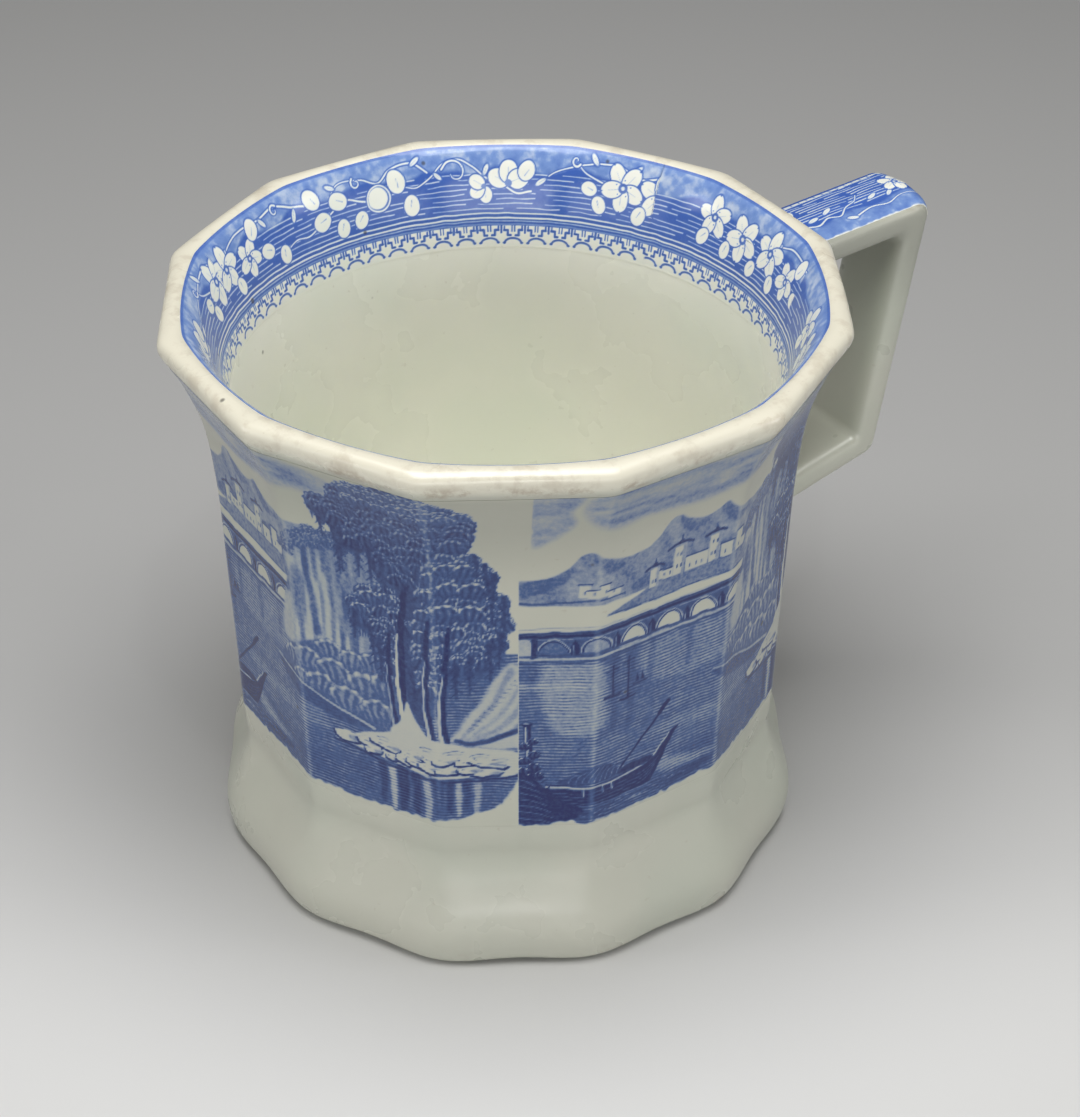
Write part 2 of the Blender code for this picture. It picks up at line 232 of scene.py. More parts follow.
def revolved(outline, columns):
    """Rings of points round the axis, one for each (radius, height) in millimetres."""
    turn = np.radians(360.0 / columns * np.arange(columns))
    ring = np.array(outline) * MM * SIZE
    return np.stack([ring[:, None, 0] * np.cos(turn), ring[:, None, 0] * np.sin(turn),
                     np.repeat(ring[:, 1:], columns, 1)], -1)


FLOOR_TOP = 5.0
FLOOR_DISH = 0.25                   # how far the floor's middle is dished
FLOOR_RADIUS = 37.2
FLOOR_EDGE = 0.35                   # how far the disc's underside lies above the foot, at its edge
FILLET = 6.0                        # radius of the rounded angle between wall and floor
FILLET_REACH = 38.0                 # radius of the bore that the angle runs up to
DISC_COLUMNS, FILLET_COLUMNS = 192, 240


def make_floor_disc(material):
    """Floor disc, slightly dished on top and recessed underneath."""
    seam = FLOOR_RADIUS - FILLET + 0.6
    top = [(r, FLOOR_TOP - FLOOR_DISH * math.cos(math.pi * r / seam / 2))
           for r in np.linspace(0, seam, 14)]
    edge = [(FLOOR_RADIUS, FLOOR_TOP - 1.2), (FLOOR_RADIUS, 0.9), (FLOOR_RADIUS - 0.5, FLOOR_EDGE)]
    under = [(r, FLOOR_EDGE + FLOOR_EDGE * math.cos(math.pi * r / 70))
             for r in np.linspace(FLOOR_RADIUS - 2, 0, 12)]
    outline = top + edge + under
    rings = len(outline) - 2
    points = revolved(outline[1:-1], DISC_COLUMNS).reshape(-1, 3)
    ends = [[0, 0, outline[end][1] * MM * SIZE] for end in (0, -1)]
    vertices = np.concatenate([points, ends])
    quads = grid_faces(rings, DISC_COLUMNS, False, True, flip=True)
    top, bottom = len(points), len(points) + 1
    low = (rings - 1) * DISC_COLUMNS
    fans = [[top, (i + 1) % DISC_COLUMNS, i][::-1] for i in range(DISC_COLUMNS)]
    fans += [[bottom, low + i, low + (i + 1) % DISC_COLUMNS][::-1] for i in range(DISC_COLUMNS)]
    mesh = mesh_from_arrays("glazed_floor", vertices, quads, fans)
    add_values(mesh, "inside", np.ones(len(vertices)))
    finish_piece("glazed_floor", mesh, material, "base_disc")


def make_inner_angle(material):
    """The luted roll round the floor, as the hollow angle between floor and wall."""
    bend = np.radians(np.linspace(0.0, 88.0, 14))
    loop = [(FILLET_REACH - FILLET + FILLET * math.sin(b) - 0.02,
             FLOOR_TOP + FILLET - FILLET * math.cos(b)) for b in bend]
    loop += [(FILLET_REACH + 0.5, FLOOR_TOP + FILLET - 0.5), (FILLET_REACH + 0.5, FLOOR_TOP - 0.6),
             (FILLET_REACH - FILLET - 0.2, FLOOR_TOP - 0.6)]
    points = revolved(loop, FILLET_COLUMNS)
    quads = grid_faces(len(loop), FILLET_COLUMNS, True, True)
    mesh = mesh_from_arrays("glazed_inner_angle", points, quads)
    add_values(mesh, "inside", np.ones(points.size // 3))
    mark_sharp(mesh, 40)
    finish_piece("glazed_inner_angle", mesh, material, "base_luting_roll")


# ---------------------------------------------------------------- handle

HANDLE_LOW_BOX, HANDLE_HIGH_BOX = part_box("handle")
STRAP_HALF_WIDTH = (HANDLE_HIGH_BOX.y - HANDLE_LOW_BOX.y) / 2 / MM
STRAP_HALF_THICKNESS = 2.55
STRAP_RIDGE = 0.45
SIDE_POWER, FACE_POWER = 0.38, 0.62  # lower powers make the strap's section squarer
SLIP_REACH = 2.6                    # how far the slip runs out along the strap
SLIP_SPREAD = 1.8                   # how far it spreads round the strap
HANDLE_RUN = ((43.0, 82.15), (70.6, 84.2), (64.0, 45.2), (39.5, 38.9))
OUTER_BEND, INNER_BEND = 2.3, 1.5   # rounding of the strap's bends on its outer and inner face


def unit(vector):
    return vector / np.linalg.norm(vector)


def moved_corners(run, offset):
    """A run of straight stretches moved sideways and mitred again."""
    run = [np.array(corner, float) for corner in run]
    sides = [np.array((-d[1], d[0])) for d in (unit(b - a) for a, b in zip(run, run[1:]))]
    corners = [run[0] + sides[0] * offset]
    corners += [corner + (first + second) * offset / (1.0 + first @ second)
                for corner, first, second in zip(run[1:], sides, sides[1:])]
    return corners + [run[-1] + sides[-1] * offset]


def rounded_run(corners, radius, stretch_steps, bend_steps):
    """Points along straight stretches joined by arcs, with a set number of points in each."""
    arcs = []
    for before, corner, after in zip(corners, corners[1:], corners[2:]):
        inward, onward = unit(before - corner), unit(after - corner)
        half = 0.5 * math.acos(float(inward @ onward))
        centre = corner + unit(inward + onward) * radius / math.sin(half)
        start = corner + inward * radius / math.tan(half) - centre
        turns = np.linspace(0.0, 2.0 * half - math.pi, bend_steps + 1)
        c, s = np.cos(turns), np.sin(turns)
        arcs.append(centre + np.stack([c * start[0] - s * start[1], s * start[0] + c * start[1]], -1))
    points = []
    starts = [corners[0]] + [arc[-1] for arc in arcs]
    ends = [arc[0] for arc in arcs] + [corners[-1]]
    for k, (start, end, steps) in enumerate(zip(starts, ends, stretch_steps)):
        points.append(start + (end - start) * np.linspace(0.0, 1.0, steps + 1)[:-1, None])
        if k < len(arcs):
            points.append(arcs[k][:-1])
    points.append(corners[-1][None])
    return np.concatenate(points)


def handle_stations(stretch_steps=(50, 70, 46), bend_steps=14):
    """Middle points of the strap, and the outward direction at each, longer across the mitres."""
    half = STRAP_HALF_THICKNESS
    outer = rounded_run(moved_corners(HANDLE_RUN, half), OUTER_BEND, stretch_steps, bend_steps)
    inner = rounded_run(moved_corners(HANDLE_RUN, -half), INNER_BEND, stretch_steps, bend_steps)
    return 0.5 * (outer + inner), 0.5 * (outer - inner) / half


def strap_outline(columns=64):
    """Section of the strap: across and outward, a flattened oval with a soft ridge outside."""
    turn = 2 * math.pi * np.arange(columns) / columns
    across = np.sign(np.cos(turn)) * np.abs(np.cos(turn)) ** SIDE_POWER * STRAP_HALF_WIDTH
    out = np.sign(np.sin(turn)) * np.abs(np.sin(turn)) ** FACE_POWER * STRAP_HALF_THICKNESS
    ridge = STRAP_RIDGE * np.clip(1.0 - np.abs(across) / STRAP_HALF_WIDTH, 0, 1) ** 1.1
    return np.stack([across, out + ridge * (out > 0)], -1)


def strap_points(path, outward, section):
    """Place a section (across, outward) at each point of a path in the XZ plane."""
    x = path[:, None, 0] + outward[:, None, 0] * section[..., 1]
    z = path[:, None, 1] + outward[:, None, 1] * section[..., 1]
    y = np.broadcast_to(section[..., 0], x.shape)
    return np.stack([x, y, z], -1) * SIZE * MM


def make_handle(material):
    path, outward = handle_stations()
    section = np.repeat(strap_outline()[None], len(path), 0)
    points = strap_points(path, outward, section)
    rows, columns = points.shape[:2]
    quads = grid_faces(rows, columns, False, True, flip=True)
    last = (rows - 1) * columns
    caps = [list(range(columns)), list(range(last + columns - 1, last - 1, -1))]
    mesh = mesh_from_arrays("glazed_handle", points, quads, caps)
    mark_sharp(mesh, 50)
    finish_piece("glazed_handle", mesh, material, "handle")


def make_slip_fillet(name, node, start, towards, material):
    """A hollow-curved fillet of slip that runs from the wall's sloping face out onto the strap."""
    start, towards = np.array(start, float), np.array(towards, float)
    along = (towards - start) / np.linalg.norm(towards - start)
    outward = np.array([-along[1], along[0]])
    bend = np.radians(np.linspace(0.0, 90.0, 14))
    away = np.concatenate([[-1.2], SLIP_REACH * (1.0 - np.cos(bend)) - 0.06])
    growth = np.concatenate([[SLIP_SPREAD], SLIP_SPREAD * (1.0 - np.sin(bend)) + 0.02])
    section = strap_outline()
    size = np.array([STRAP_HALF_WIDTH, STRAP_HALF_THICKNESS])
    inner = np.repeat(section[None] * 0.97, len(away), 0)[::-1]
    sections = np.concatenate([section[None] * (1.0 + growth[:, None, None] / size), inner])
    away = np.concatenate([away, away[::-1]])
    side, rise = sections[..., 0], sections[..., 1]
    corner_x = np.interp(start[1] + outward[1] * rise, OUTSIDE[:, 0], OUTSIDE[:, 1])
    wall_x = corner_x * math.cos(math.pi / FACETS)
    distance = (wall_x - start[0] - outward[0] * rise) / along[0] + away[:, None]
    points = np.stack([start[0] + along[0] * distance + outward[0] * rise, side,
                       start[1] + along[1] * distance + outward[1] * rise], -1) * SIZE * MM
    mesh = mesh_from_arrays(name, points, grid_faces(len(away), len(section), True, True))
    finish_piece(name, mesh, material, node)


# ---------------------------------------------------------------- materials

class Shader:
    """A material's node tree, with short ways to add nodes and links."""

    def __init__(self, name, **settings):
        self.material = bpy.data.materials.new(name)
        self.material.use_nodes = True
        self.tree = self.material.node_tree
        self.surface = self.tree.nodes["Principled BSDF"]
        for socket, value in settings.items():
            self.surface.inputs[socket.replace("_", " ")].default_value = value

    def link(self, source, target):
        self.tree.links.new(source, target)

    def put(self, socket, value):
        if hasattr(value, "is_output"):
            self.link(value, socket)
        else:
            socket.default_value = value

    def place(self):
        return self.tree.nodes.new("ShaderNodeTexCoord").outputs["Object"]

    def axis(self, vector, name):
        node = self.tree.nodes.new("ShaderNodeSeparateXYZ")
        self.link(vector, node.inputs[0])
        return node.outputs[name]

    def value(self, name):
        node = self.tree.nodes.new("ShaderNodeAttribute")
        node.attribute_name = name
        return node.outputs["Fac"]

    def math(self, operation, a, b=0.0):
        node = self.tree.nodes.new("ShaderNodeMath")
        node.operation = operation
        self.put(node.inputs[0], a)
        self.put(node.inputs[1], b)
        return node.outputs[0]

    def times(self, a, b):
        return self.math("MULTIPLY", a, b)

    def plus(self, a, b):
        return self.math("ADD", a, b)

    def ramp(self, value, low, high, out_low=0.0, out_high=1.0, smooth=True):
        node = self.tree.nodes.new("ShaderNodeMapRange")
        node.interpolation_type = "SMOOTHSTEP" if smooth else "LINEAR"
        for socket, number in zip(node.inputs, (value, low, high, out_low, out_high)):
            self.put(socket, number)
        return node.outputs[0]

    def noise(self, scale, detail, rough=0.5):
        node = self.tree.nodes.new("ShaderNodeTexNoise")
        self.link(self.place(), node.inputs["Vector"])
        node.inputs["Scale"].default_value = scale
        node.inputs["Detail"].default_value = detail
        node.inputs["Roughness"].default_value = rough
        return node.outputs["Fac"]

    def cells(self, scale, output="Distance"):
        node = self.tree.nodes.new("ShaderNodeTexVoronoi")
        self.link(self.place(), node.inputs["Vector"])
        node.inputs["Scale"].default_value = scale
        return node.outputs[output]

    def mix(self, share, a, b):
        node = self.tree.nodes.new("ShaderNodeMix")
        node.data_type = "RGBA"
        self.put(node.inputs["Factor"], share)
        self.put(node.inputs[6], a)
        self.put(node.inputs[7], b)
        return node.outputs[2]

    def bump(self, height, distance, strength):
        node = self.tree.nodes.new("ShaderNodeBump")
        node.inputs["Strength"].default_value = strength
        node.inputs["Distance"].default_value = distance
        self.link(height, node.inputs["Height"])
        return node.outputs[0]


GLAZE_CREAM = (0.745, 0.735, 0.620, 1.0)
GLAZE_GREEN = (0.690, 0.705, 0.590, 1.0)
# Paler copies of the glaze for the bore and floor: painted light inside the mug
LIT_GLAZE_PALE = (0.920, 0.912, 0.812, 1.0)
LIT_GLAZE_PALE_GREEN = (0.870, 0.890, 0.780, 1.0)
# Grey copies of the outside glaze: painted shade on the outer wall below the lip
SHADED_GLAZE_GREY = (0.560, 0.562, 0.478, 1.0)
SHADED_GLAZE_GREY_GREEN = (0.515, 0.536, 0.452, 1.0)
# Colour of the painted shadow under the lip's flare
PAINTED_FLARE_SHADOW = (0.230, 0.235, 0.205, 1.0)
GLAZE_WARM = (0.800, 0.760, 0.630, 1.0)
STAIN_BROWN = (0.250, 0.150, 0.075, 1.0)
SPECK_DARK = (0.060, 0.055, 0.050, 1.0)
SPECK_SCALE = 170.0                 # cells per metre in which a speck can fall
SPECK_RARITY = 0.92                 # share of the cells that have none
FLARE_SHADOW_STRENGTH = 0.45                  # how strongly the painted shadow darkens the glaze under the lip's flare


def cloudy(shader, main, pooled):
    """Glaze that pools a little greener in places."""
    return shader.mix(shader.ramp(shader.noise(38.0, 3.0), 0.35, 0.7), main, pooled)


def clay_colour_with_painted_shade(shader, z):
    """Glazed clay outside, with painted shade: greyer below the lip, and a painted shadow darkest under its
    flare.
    """
    # Painted shade: the outer wall below the lip takes the greyer glaze, the lip keeps the cream
    below = shader.ramp(z, 0.0845, 0.0880, 1.0, 0.0)
    colour = shader.mix(below, cloudy(shader, GLAZE_CREAM, GLAZE_GREEN),
                        cloudy(shader, SHADED_GLAZE_GREY, SHADED_GLAZE_GREY_GREEN))
    # Painted shadow cast by the flare, strongest just under the lip
    high = shader.times(below, shader.ramp(z, 0.066, 0.081))
    return shader.mix(shader.times(high, FLARE_SHADOW_STRENGTH), colour, PAINTED_FLARE_SHADOW)


def speckled(shader, colour):
    """Kiln specks and fine brown flecks under the glaze."""
    chance = shader.axis(shader.cells(SPECK_SCALE, "Color"), 0)
    picked = shader.math("GREATER_THAN", chance, SPECK_RARITY)
    dot = shader.ramp(shader.cells(SPECK_SCALE), 0.06, 0.10, 1.0, 0.0)
    fine = shader.ramp(shader.noise(900.0, 2.0), 0.70, 0.80)
    colour = shader.mix(shader.times(shader.times(picked, dot), 0.75), colour, SPECK_DARK)
    return shader.mix(shader.times(fine, 0.14), colour, STAIN_BROWN)


def glaze_surface(shader, smooth, dull):
    """Gloss with the slight ripple and pinholes of an old lead glaze."""
    ripple = shader.noise(260.0, 2.0)
    pits = shader.ramp(shader.cells(900.0), 0.0, 0.22)
    height = shader.plus(ripple, shader.times(pits, 0.12))
    shader.link(shader.bump(height, 0.00012, 0.35), shader.surface.inputs["Normal"])
    rough = shader.ramp(shader.noise(70.0, 4.0), 0.3, 0.75, smooth, dull)
    shader.link(rough, shader.surface.inputs["Roughness"])


def body_material():
    """Glazed clay, worn and stained brown along the lip's outer edge and the foot's lower edge."""
    shader = Shader("glazed_earthenware", IOR=1.68)
    place = shader.place()
    z = shader.axis(place, 2)
    inside = shader.value("inside")
    # Painted light inside: the bore and floor take the paler glaze; outside, the painted shade below the lip
    colour = shader.mix(inside, clay_colour_with_painted_shade(shader, z), cloudy(shader, LIT_GLAZE_PALE, LIT_GLAZE_PALE_GREEN))
    top = HEIGHT * MM
    on_lip = shader.ramp(z, top - 0.0042, top - 0.0012)
    colour = shader.mix(shader.times(on_lip, 0.85), colour, GLAZE_WARM)
    thin = shader.times(on_lip, shader.ramp(shader.noise(260.0, 4.0, 0.65), 0.48, 0.66))
    colour = shader.mix(shader.times(thin, 0.20), colour, STAIN_BROWN)
    below_lip = shader.times(shader.ramp(z, top - 0.0048, top - 0.0034),
                             shader.ramp(z, top - 0.0030, top - 0.0010, 1.0, 0.0))
    patches = shader.ramp(shader.noise(140.0, 6.0, 0.7), 0.48, 0.62)
    wear = shader.times(below_lip, patches)
    near_foot = shader.ramp(z, 0.0, 0.0042, 1.0, 0.0)
    foot_patches = shader.ramp(shader.noise(120.0, 5.0, 0.7), 0.52, 0.68)
    wear = shader.math("MAXIMUM", wear, shader.times(near_foot, foot_patches))
    colour = shader.mix(shader.times(wear, 0.50), colour, STAIN_BROWN)
    shader.link(speckled(shader, colour), shader.surface.inputs["Base Color"])
    glaze_surface(shader, 0.24, 0.40)
    return shader.material


RULING_PITCH = 0.00056              # spacing of the engraved lines in the water
SCENE_DEEP, SCENE_LIGHT = (0.003, 0.011, 0.110, 1.0), (0.085, 0.175, 0.400, 1.0)
BORDER_DEEP, BORDER_PALE = (0.055, 0.130, 0.470, 1.0), (0.290, 0.440, 0.740, 1.0)
SCENE_GRAIN, BORDER_GRAIN = 0.38, 0.24


def print_material(name, deep, light, grain, ruled):
    """Underglaze print: the mesh's ink value, broken up by the grain of the engraved plate."""
    shader = Shader(name, IOR=1.52)
    ink = shader.value("ink")
    place = shader.place()
    if ruled:
        waver = shader.times(shader.noise(160.0, 2.0), 0.0012)
        height = shader.plus(shader.axis(place, 2), waver)
        line = shader.math("SINE", shader.times(height, 2.0 * math.pi / RULING_PITCH))
        strength = shader.times(shader.value("ruling"),
                                shader.ramp(shader.noise(420.0, 2.0), 0.3, 0.7, 0.05, 0.17))
        ink = shader.plus(ink, shader.times(line, strength))
    flow = shader.math("SUBTRACT", shader.noise(1500.0, 2.0, 0.6), 0.5)
    blotch = shader.math("SUBTRACT", shader.noise(230.0, 3.0, 0.6), 0.5)
    uneven = shader.plus(shader.times(flow, grain),
                         shader.times(blotch, 0.35 * grain))
    strength = shader.times(uneven, shader.ramp(ink, 0.02, 0.25))
    ink = shader.plus(ink, strength)
    cover = shader.ramp(ink, 0.0, 0.55, smooth=False)
    depth = shader.ramp(ink, 0.26, 0.94, smooth=False)
    tint = shader.mix(depth, light, deep)
    if ruled:
        # Bare clay between the scene's marks keeps the wall's painted shade
        bare = clay_colour_with_painted_shade(shader, shader.axis(place, 2))
    else:
        # Bare clay under the border strips takes the bore's paler glaze, painted light
        bare = cloudy(shader, LIT_GLAZE_PALE, LIT_GLAZE_PALE_GREEN)
    shader.link(speckled(shader, shader.mix(cover, bare, tint)), shader.surface.inputs["Base Color"])
    glaze_surface(shader, 0.12, 0.26)
    return shader.material


# ---------------------------------------------------------------- drawing with ink

def smooth_step(value, low, high):
    t = np.clip((value - low) / (high - low), 0.0, 1.0)
    return t * t * (3.0 - 2.0 * t)


LATTICE = 64                        # points each way before the noise repeats


def lattice_noise(u, z, size, seed):
    """Smooth noise from -1 to 1, with features of a given size in millimetres."""
    table = np.random.default_rng(seed).uniform(-1.0, 1.0, (LATTICE, LATTICE))
    a, b = u / size + 200.0, z / size + 200.0
    i, j = np.floor(a).astype(int), np.floor(b).astype(int)
    s, t = a - i, b - j
    s, t = s * s * (3.0 - 2.0 * s), t * t * (3.0 - 2.0 * t)
    i, j, i2, j2 = i % LATTICE, j % LATTICE, (i + 1) % LATTICE, (j + 1) % LATTICE
    low = table[i, j] + (table[i2, j] - table[i, j]) * s
    high = table[i, j2] + (table[i2, j2] - table[i, j2]) * s
    return low + (high - low) * t


def from_stretch(u, z, start, end):
    """Offsets from the nearest point of a straight stretch, and how far along it that point lies."""
    du, dz = end[0] - start[0], end[1] - start[1]
    t = np.clip(((u - start[0]) * du + (z - start[1]) * dz) / (du * du + dz * dz + 1e-12), 0.0, 1.0)
    return u - start[0] - t * du, z - start[1] - t * dz, t


def edge_distance(u, z, outline):
    """Distance to a closed outline, negative inside it."""
    inside = np.zeros(u.shape, bool)
    nearest = np.full(u.shape, 1e9)
    for (u0, z0), (u1, z1) in zip(outline, np.roll(outline, -1, axis=0)):
        away_u, away_z, _ = from_stretch(u, z, (u0, z0), (u1, z1))
        nearest = np.minimum(nearest, away_u ** 2 + away_z ** 2)
        if z1 != z0:
            inside ^= ((z0 > z) != (z1 > z)) & (u < u0 + (z - z0) * (u1 - u0) / (z1 - z0))
    return np.where(inside, -1.0, 1.0) * np.sqrt(nearest)


CURVE_STEPS = 6                     # straight steps between two points of a drawn curve
THREAD = 0.45                       # width of the threads that leaves hang down in


class Drawing:
    """Ink on a print, from 0 for bare clay to 1 for the darkest, laid on in millimetres."""

    def __init__(self, u, z, unsteady):
        self.u, self.z = u, z
        self.ink = np.zeros_like(u)
        self.ruling = np.zeros_like(u)
        self.over_water = False         # whether what is drawn lets the water's ruling show
        self.hand_u = u + unsteady * lattice_noise(u, z, 1.7, 1)
        self.hand_z = z + unsteady * lattice_noise(u, z, 1.7, 2)

    def window(self, points, margin):
        points = np.asarray(points, float)
        (u0, z0), (u1, z1) = points.min(0) - margin, points.max(0) + margin
        columns = slice(*np.searchsorted(self.u[0], (u0, u1)))
        rows = slice(*np.searchsorted(self.z[:, 0], (z0, z1)))
        return rows, columns

    def lay(self, window, cover, tone):
        ink = self.ink[window]
        ink += (tone - ink) * cover
        if not self.over_water:
            self.ruling[window] *= 1.0 - 0.9 * cover

    def area(self, outline, tone, soft, hang=0.0, share=1.0):
        """Fill a curved outline. Its lower edge can hang down in threads, as leaves do."""
        return self.patch(spline(outline, [CURVE_STEPS] * len(outline)), tone, soft, hang, share)

    def patch(self, outline, tone, soft, hang=0.0, share=1.0):
        """Fill an outline of straight edges."""
        outline = np.array(outline, float)
        window = self.window(outline, 0.5 + soft + hang)
        u, z = self.hand_u[window], self.hand_z[window]
        if hang:
            z = z + hang * np.abs(lattice_noise(u, 0.12 * z, THREAD, 7))
        cover = share * smooth_step(-edge_distance(u, z, outline), -soft, soft)
        self.lay(window, cover, tone)
        return window, cover

    def stroke(self, points, width, tone, end_width=None, soft=0.12, share=1.0):
        """A curved line of ink, or of bare clay, that can taper from its first point to its last."""
        points = spline(points, [CURVE_STEPS] * (len(points) - 1), False)
        self.line(points, width, tone, end_width, soft, share)

    def line(self, points, width, tone, end_width=None, soft=0.12, share=1.0):
        """The same along straight stretches."""
        points = np.array(points, float)
        widths = np.linspace(width, width if end_width is None else end_width, len(points))
        window = self.window(points, max(width, end_width or 0.0) + soft + 0.3)
        u, z = self.hand_u[window], self.hand_z[window]
        beyond = np.full(u.shape, 1e9)
        for start, end, w0, w1 in zip(points, points[1:], widths, widths[1:]):
            away_u, away_z, t = from_stretch(u, z, start, end)
            beyond = np.minimum(beyond, np.hypot(away_u, away_z) - 0.5 * (w0 + (w1 - w0) * t))
        self.lay(window, share * smooth_step(-beyond, -soft, soft), tone)

    def oval(self, u, z, reach_u, reach_z, tone, tilt=0.0, soft=0.12):
        reach = max(reach_u, reach_z)
        window = self.window([(u - reach, z - reach), (u + reach, z + reach)], soft + 0.2)
        du, dz = self.hand_u[window] - u, self.hand_z[window] - z
        c, s = math.cos(tilt), math.sin(tilt)
        size = np.hypot((du * c + dz * s) / reach_u, (dz * c - du * s) / reach_z)
        inside = (1.0 - size) * min(reach_u, reach_z)
        self.lay(window, smooth_step(inside, -soft, soft), tone)

    def dot(self, u, z, reach, tone, soft):
        self.oval(u, z, reach, reach, tone, soft=soft)

    def clump(self, u, z, reach, tone, light, strokes=7, flat=0.72, spread=0.5, hanging=0.0):
        """A leafy clump, lit along its scalloped top, with strokes that fan up or hang down."""
        window = self.window([(u - reach, z - reach), (u + reach, z + reach)], 0.4)
        du = (self.hand_u[window] - u) / reach
        dz = (self.hand_z[window] - z) / (flat * reach)
        around = np.arctan2(dz, du)
        size = np.hypot(du, dz) * (1.0 + 0.05 * np.cos(11.0 * around + 3.0 * u))
        fan = du / (1.25 + (0.5 - hanging) * dz)
        leaf = 0.5 + 0.5 * np.cos(2.2 * strokes * fan + 4.0 * z + 1.2 * np.sin(3.0 * dz + u))
        band = smooth_step(size, 0.62, 0.80) * smooth_step(size, 0.98, 0.88)
        lit = band * smooth_step(dz, -0.25, 0.45) * (0.45 + 0.55 * leaf)
        inner = smooth_step(size, 0.75, 0.35) * smooth_step(dz, -0.8, 0.3)
        shade = tone - (tone - light) * (lit + 0.30 * inner * leaf) + 0.12 * (0.5 - leaf)
        cover = smooth_step(1.05 - size, 0.0, 0.12) * (1.0 - smooth_step(-dz, spread - 0.3, spread + 0.4))
        self.lay(window, cover, shade)

    def foliage(self, outline, tone, light, reach, seed, spacing=0.8, **shape):
        """Fill an outline with clumps, from the back and top down to the front."""
        random = np.random.default_rng(seed)
        outline = spline(outline, [CURVE_STEPS] * len(outline))
        (u0, z0), (u1, z1) = outline.min(0), outline.max(0)
        row, places = z1, []
        while row > z0:
            for u in np.arange(u0 + random.uniform(0, reach), u1, reach * spacing * 1.35):
                places.append((u + random.uniform(-0.3, 0.3) * reach,
                               row + random.uniform(-0.25, 0.25) * reach))
            row -= reach * spacing * 0.62
        places = np.array(places)
        keep = edge_distance(places[:, 0], places[:, 1], outline) < -0.25 * reach
        for u, z in places[keep]:
            size = reach * random.uniform(0.75, 1.2)
            self.clump(u, z, size, tone + random.uniform(-0.06, 0.06),
                       light + random.uniform(-0.08, 0.08), **shape)


# ---------------------------------------------------------------- landscape of the outer sheets

# Places are lengths along a sheet, which is 71.3 mm long, and heights above the table. The sheet's
# lower edge lies 24.4 mm above it.


def draw_sky(d):
    """Ruled cloud: a patch cut off at the sheet's left edge, and a long bank that rises from it."""
    streaks = 0.6 * lattice_noise(0.22 * d.u, d.z, 0.7, 11) + 0.5 * lattice_noise(0.4 * d.u, d.z, 1.9, 12)
    for outline, tone, soft in (
            (((1.9, 85.6), (7.6, 85.6), (6.4, 82.5), (6.9, 79.5), (4.4, 76.6), (1.9, 75.9)), 0.46, 0.8),
            (((8.6, 81.6), (10.2, 85.6), (20.0, 86.4), (33.0, 86.2), (41.0, 84.8), (47.0, 83.2),
              (47.5, 80.0), (41.0, 79.6), (35.0, 78.5), (27.0, 77.4), (18.0, 78.4), (12.4, 78.0)),
             0.46, 1.2)):
        window, cover = d.area(outline, tone, soft)
        d.ink[window] *= 1.0 - cover * np.clip(0.32 + 0.55 * streaks[window], 0.0, 1.0)
    d.area(((13.0, 83.6), (18.0, 84.8), (24.0, 83.8), (31.0, 84.6), (27.0, 82.4), (20.0, 82.2)), 0.14, 1.0,
           share=0.5)
    d.area(((12.0, 79.2), (20.0, 79.4), (30.0, 79.0), (40.0, 81.0), (30.0, 78.0), (20.0, 78.4)), 0.46, 0.9,
           share=0.6)
    d.patch(((1.7, 86.0), (1.7, 75.0), (0.0, 75.0), (0.0, 86.0)), 0.0, 0.08)


def draw_hills(d):
    """Two ranges of far hills, with the slopes away from the light ruled darker."""
    far = ((-2.0, 68.6), (3.0, 69.4), (6.0, 70.4), (8.3, 73.1), (9.8, 73.8), (11.6, 72.6), (14.0, 71.7),
           (17.0, 71.4), (19.6, 72.6), (21.4, 75.2), (23.0, 75.7), (24.8, 74.4), (27.6, 73.5),
           (29.6, 74.2), (31.0, 75.0), (32.6, 73.4), (36.0, 72.3), (41.0, 72.2), (46.0, 72.4),
           (60.0, 71.0), (60.0, 64.8), (-2.0, 64.8))
    window, cover = d.area(far, 0.40, 0.15)
    slope = lattice_noise(d.u + 0.5 * d.z, 0.2 * d.z, 1.5, 21)[window]
    d.ink[window] += cover * 0.09 * slope
    for shade in (((9.9, 73.7), (12.0, 71.8), (14.8, 70.4), (12.2, 69.6), (10.6, 71.2)),
                  ((23.2, 75.6), (26.0, 73.2), (28.4, 72.6), (26.0, 71.4), (23.8, 72.8)),
                  ((31.1, 74.8), (33.6, 72.2), (36.4, 71.2), (33.0, 70.6), (31.2, 72.2)),
                  ((0.0, 68.6), (5.0, 69.8), (7.6, 71.4), (6.4, 68.4), (2.0, 66.4), (0.0, 66.0))):
        d.area(shade, 0.62, 0.35, share=0.6)
    d.stroke(((-1.0, 65.2), (4.0, 65.0), (10.0, 65.3), (15.0, 65.1)), 0.3, 0.66)
    # Pale strand below the hills, with a tongue of land that widens to the right
    d.area(((12.4, 62.2), (17.0, 63.6), (21.0, 64.9), (30.0, 65.0), (37.0, 64.8), (37.0, 61.7),
            (28.0, 62.0), (20.0, 61.8)), 0.46, 0.18)
    d.stroke(((12.4, 62.2), (20.0, 61.8), (28.0, 62.0), (36.0, 61.7)), 0.22, 0.66)
    d.stroke(((0.0, 60.5), (8.0, 60.7), (20.0, 60.3)), 0.2, 0.3)


